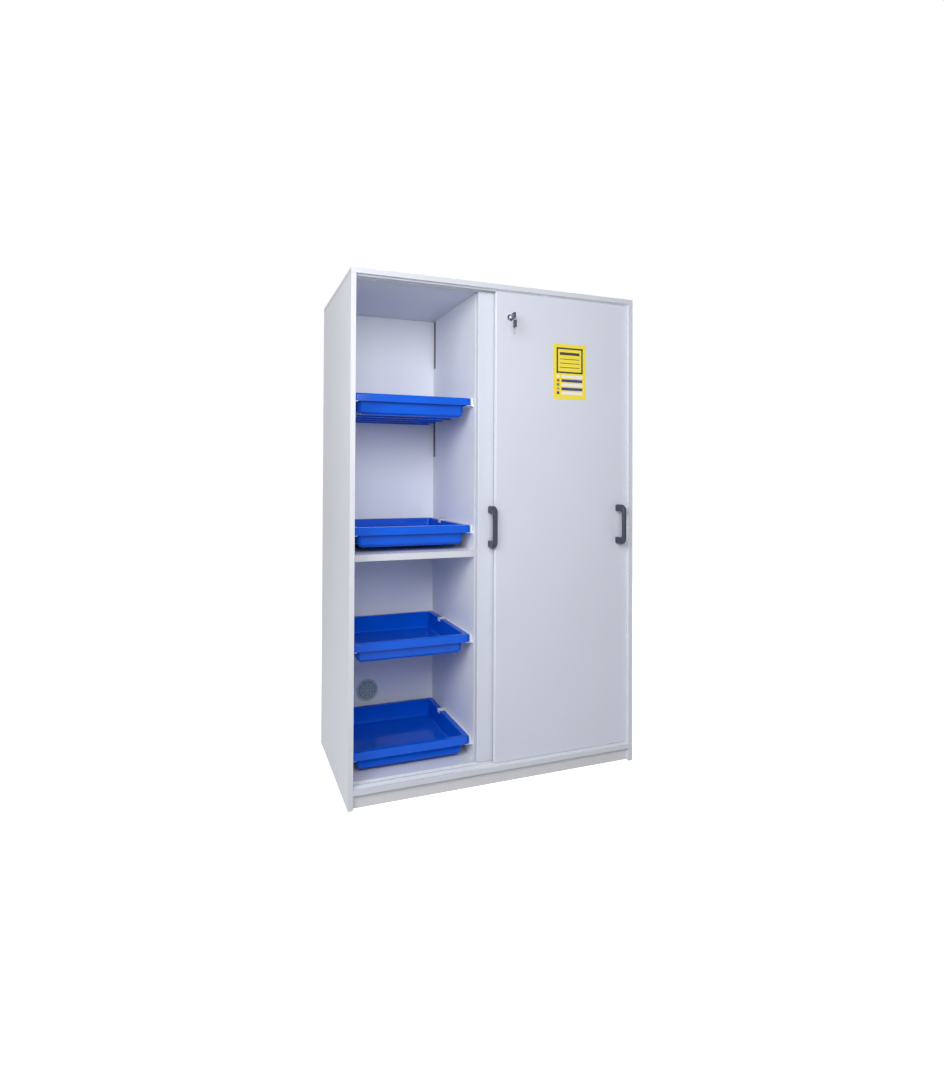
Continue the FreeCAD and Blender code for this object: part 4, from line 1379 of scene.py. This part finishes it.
class CABINET_OT_air_fittings(bpy.types.Operator):
    """Adds the air grilles and the outlet collar"""

    bl_idname = "cabinet.air_fittings"
    bl_label = "Add the air fittings"

    def execute(self, context):
        high, grille_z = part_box("vent_grilles")[1], box_centre("vent_grilles").z
        mat = turn("mat", [(0, -1.5 * MM), (40.6 * MM, -1.5 * MM), (41 * MM, -1.1 * MM), (41 * MM, 1.1 * MM),
                           (40.6 * MM, 1.5 * MM), (0, 1.5 * MM)], 64)
        smooth(mat)
        paint(mat, "filter_fleece")
        for model, name, depth, nodes in ((make_grille("grille"), "round_grilles", 12 * MM, ["vent_grilles"]),
                                          (mat, "filter_mats", 8 * MM, [])):
            pair = repeat(model, name, [((x, high.y - depth, grille_z), TO_FRONT) for x in grille_places()])
            mount(pair, "cabinet", "grille_plastic", *nodes)
            bpy.data.objects.remove(model)

        low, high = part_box("exhaust_collar")
        centre = (low + high) / 2
        top, board = high.z, cad_high.z - 40 * MM
        outside, inside = 50 * MM, 48 * MM
        profile = [
            (inside, low.z), (outside - 0.2 * MM, low.z), (outside - 0.2 * MM, board), (62 * MM, board),
            (62 * MM, board + 2.4 * MM), (61.4 * MM, board + 3 * MM), (outside + 1.2 * MM, board + 3 * MM),
            (outside, board + 4.2 * MM), (outside, top - 14 * MM), (outside - 0.5 * MM, top - 13 * MM),
            (outside - 0.5 * MM, top - 11 * MM), (outside, top - 10 * MM), (outside, top - 0.7 * MM),
            (outside - 0.7 * MM, top), (inside + 0.7 * MM, top), (inside, top - 0.7 * MM), (inside, low.z)]
        collar = turn("outlet_spigot", profile, 96)
        smooth(collar, 40)
        place(collar, (centre.x, centre.y, 0))
        mount(paint(collar, "zinc_coated_sheet"), "cabinet", "collar_steel", "exhaust_collar")
        head = screw_head(3 * MM, 1.5 * MM)
        places = []
        for index in range(6):
            turned, reach = math.radians(60 * index + 30), 57 * MM
            spot = (centre.x + reach * math.cos(turned), centre.y + reach * math.sin(turned), board + 3 * MM)
            places.append((spot, (0, 0, 0.7 * index)))
        mount(repeat(head, "outlet_screw_heads", places), "cabinet", "collar_steel")
        bpy.data.objects.remove(head)
        return {"FINISHED"}


# The stage


def seen_by_camera(nodes, links):
    """A value of 1 where the camera, a mirror or a glass looks straight at the surface."""
    path = nodes.new("ShaderNodeLightPath")
    total = None
    for output in ("Is Camera Ray", "Is Glossy Ray", "Is Transmission Ray"):
        if total is None:
            total = path.outputs[output]
            continue
        node = nodes.new("ShaderNodeMath")
        node.operation = "MAXIMUM"
        links.new(total, node.inputs[0])
        links.new(path.outputs[output], node.inputs[1])
        total = node.outputs["Value"]
    return total


class CABINET_OT_stage(bpy.types.Operator):
    """Adds the floor, the lights and the camera"""

    bl_idname = "cabinet.stage"
    bl_label = "Add the stage"

    def execute(self, context):
        stage = context.scene.cabinet_stage
        self.add_floor()
        self.light_world(stage.world)
        for name, spot, size, watts in (("key_lamp", (-0.7, -2.6, 2.0), 1.5, stage.key),
                                        ("fill_lamp", (-2.2, -2.1, 2.2), 1.7, stage.fill),
                                        ("back_lamp", (3.2, 2.8, 2.3), 2.6, stage.back)):
            self.add_lamp(name, spot, size, watts)
        self.add_camera(stage)
        context.scene.view_settings.view_transform = "Standard"
        return {"FINISHED"}

    def add_floor(self):
        deselect()
        bpy.ops.mesh.primitive_circle_add(vertices=64, radius=FLOOR_RADIUS, fill_type="NGON", location=(0, 0, 0))
        floor = name_piece(bpy.context.object, "floor")
        material = bpy.data.materials.new("pale_floor")
        material.use_nodes = True
        nodes, links = material.node_tree.nodes, material.node_tree.links
        shader = nodes["Principled BSDF"]
        shader.inputs["Base Color"].default_value = (*tone(196, 197, 200), 1)
        shader.inputs["Roughness"].default_value = 0.9
        shader.inputs["Specular IOR Level"].default_value = 0.1
        shader.inputs["Emission Color"].default_value = (1, 1, 1, 1)
        glow = nodes.new("ShaderNodeMath")
        glow.operation = "MULTIPLY"
        glow.inputs[1].default_value = FLOOR_GLOW
        links.new(seen_by_camera(nodes, links), glow.inputs[0])
        links.new(glow.outputs["Value"], shader.inputs["Emission Strength"])
        floor.data.materials.append(material)

    def light_world(self, strength):
        world = bpy.data.worlds.new("studio")
        bpy.context.scene.world = world
        world.use_nodes = True
        nodes, links = world.node_tree.nodes, world.node_tree.links
        background = nodes["Background"]
        background.inputs["Color"].default_value = (*tone(250, 252, 255), 1)
        background.inputs["Strength"].default_value = strength
        white = nodes.new("ShaderNodeBackground")
        white.inputs["Color"].default_value = (1, 1, 1, 1)
        white.inputs["Strength"].default_value = 1.0
        mix = nodes.new("ShaderNodeMixShader")
        links.new(seen_by_camera(nodes, links), mix.inputs["Fac"])
        links.new(background.outputs["Background"], mix.inputs[1])
        links.new(white.outputs["Background"], mix.inputs[2])
        links.new(mix.outputs["Shader"], nodes["World Output"].inputs["Surface"])

    def add_lamp(self, name, spot, size, watts):
        """A round soft light that looks at the cabinet's middle."""
        data = bpy.data.lights.new(name, "AREA")
        data.shape = "DISK"
        data.size = size
        data.energy = watts
        lamp = bpy.data.objects.new(name, data)
        bpy.context.scene.collection.objects.link(lamp)
        lamp.location = spot
        lamp.rotation_euler = (LAMP_AIM - Vector(spot)).to_track_quat("-Z", "Y").to_euler()

    def add_camera(self, stage):
        yaw, pitch, roll = stage.camera_yaw, stage.camera_pitch, stage.camera_roll
        ahead = Vector((math.sin(yaw) * math.cos(pitch), math.cos(yaw) * math.cos(pitch), math.sin(pitch)))
        right = Vector((math.cos(yaw), -math.sin(yaw), 0))
        up = right.cross(ahead)
        turned_right = math.cos(roll) * right + math.sin(roll) * up
        turned_up = -math.sin(roll) * right + math.cos(roll) * up
        data = bpy.data.cameras.new("camera")
        width, height = stage.photo_pixels
        data.sensor_fit = "AUTO"
        data.sensor_width = 36
        data.lens = stage.focal_pixels * data.sensor_width / height
        data.shift_x = (width / 2 - stage.centre_pixels[0]) / height
        data.shift_y = (stage.centre_pixels[1] - height / 2) / height
        data.clip_start = 0.05
        data.clip_end = 60
        camera = bpy.data.objects.new("camera", data)
        bpy.context.scene.collection.objects.link(camera)
        matrix = Matrix((turned_right, turned_up, -ahead)).transposed().to_4x4()
        matrix.translation = stage.camera_place
        camera.matrix_world = matrix
        bpy.context.scene.camera = camera


class CABINET_PT_panel(bpy.types.Panel):
    """Lists the sizes, the colours and the steps"""

    bl_idname = "CABINET_PT_panel"
    bl_label = "Reagent drawer cabinet"
    bl_space_type = "VIEW_3D"
    bl_region_type = "UI"
    bl_category = "Cabinet"

    def draw(self, context):
        for title, group in (("Sizes", context.scene.cabinet_sizes), ("Colours", context.scene.cabinet_colours),
                             ("Stage", context.scene.cabinet_stage)):
            box = self.layout.box()
            box.label(text=title)
            for name in group.__annotations__:
                box.prop(group, name)
        column = self.layout.column()
        for step in STEPS:
            column.operator(step.bl_idname)


STEPS = (
    CABINET_OT_finishes,
    CABINET_OT_boards,
    CABINET_OT_tracks,
    CABINET_OT_doors,
    CABINET_OT_door_gear,
    CABINET_OT_handles,
    CABINET_OT_lock,
    CABINET_OT_keys,
    CABINET_OT_card,
    CABINET_OT_trays,
    CABINET_OT_slides,
    CABINET_OT_air_fittings,
    CABINET_OT_stage,
)
GROUPS = (CabinetSizes, CabinetColours, CabinetStage)


def register():
    for group in GROUPS:
        bpy.utils.register_class(group)
    bpy.types.Scene.cabinet_sizes = bpy.props.PointerProperty(type=CabinetSizes)
    bpy.types.Scene.cabinet_colours = bpy.props.PointerProperty(type=CabinetColours)
    bpy.types.Scene.cabinet_stage = bpy.props.PointerProperty(type=CabinetStage)
    for step in STEPS + (CABINET_PT_panel,):
        bpy.utils.register_class(step)


def unregister():
    for step in reversed(STEPS + (CABINET_PT_panel,)):
        bpy.utils.unregister_class(step)
    for name in ("cabinet_sizes", "cabinet_colours", "cabinet_stage"):
        delattr(bpy.types.Scene, name)
    for group in reversed(GROUPS):
        bpy.utils.unregister_class(group)


def main():
    register()
    bpy.ops.cabinet.finishes()
    bpy.ops.cabinet.boards()
    bpy.ops.cabinet.tracks()
    bpy.ops.cabinet.doors()
    bpy.ops.cabinet.door_gear()
    bpy.ops.cabinet.handles()
    bpy.ops.cabinet.lock()
    bpy.ops.cabinet.keys()
    bpy.ops.cabinet.card()
    bpy.ops.cabinet.trays()
    bpy.ops.cabinet.slides()
    bpy.ops.cabinet.air_fittings()
    bpy.ops.cabinet.stage()
    deselect()


if __name__ == "__main__":
    main()
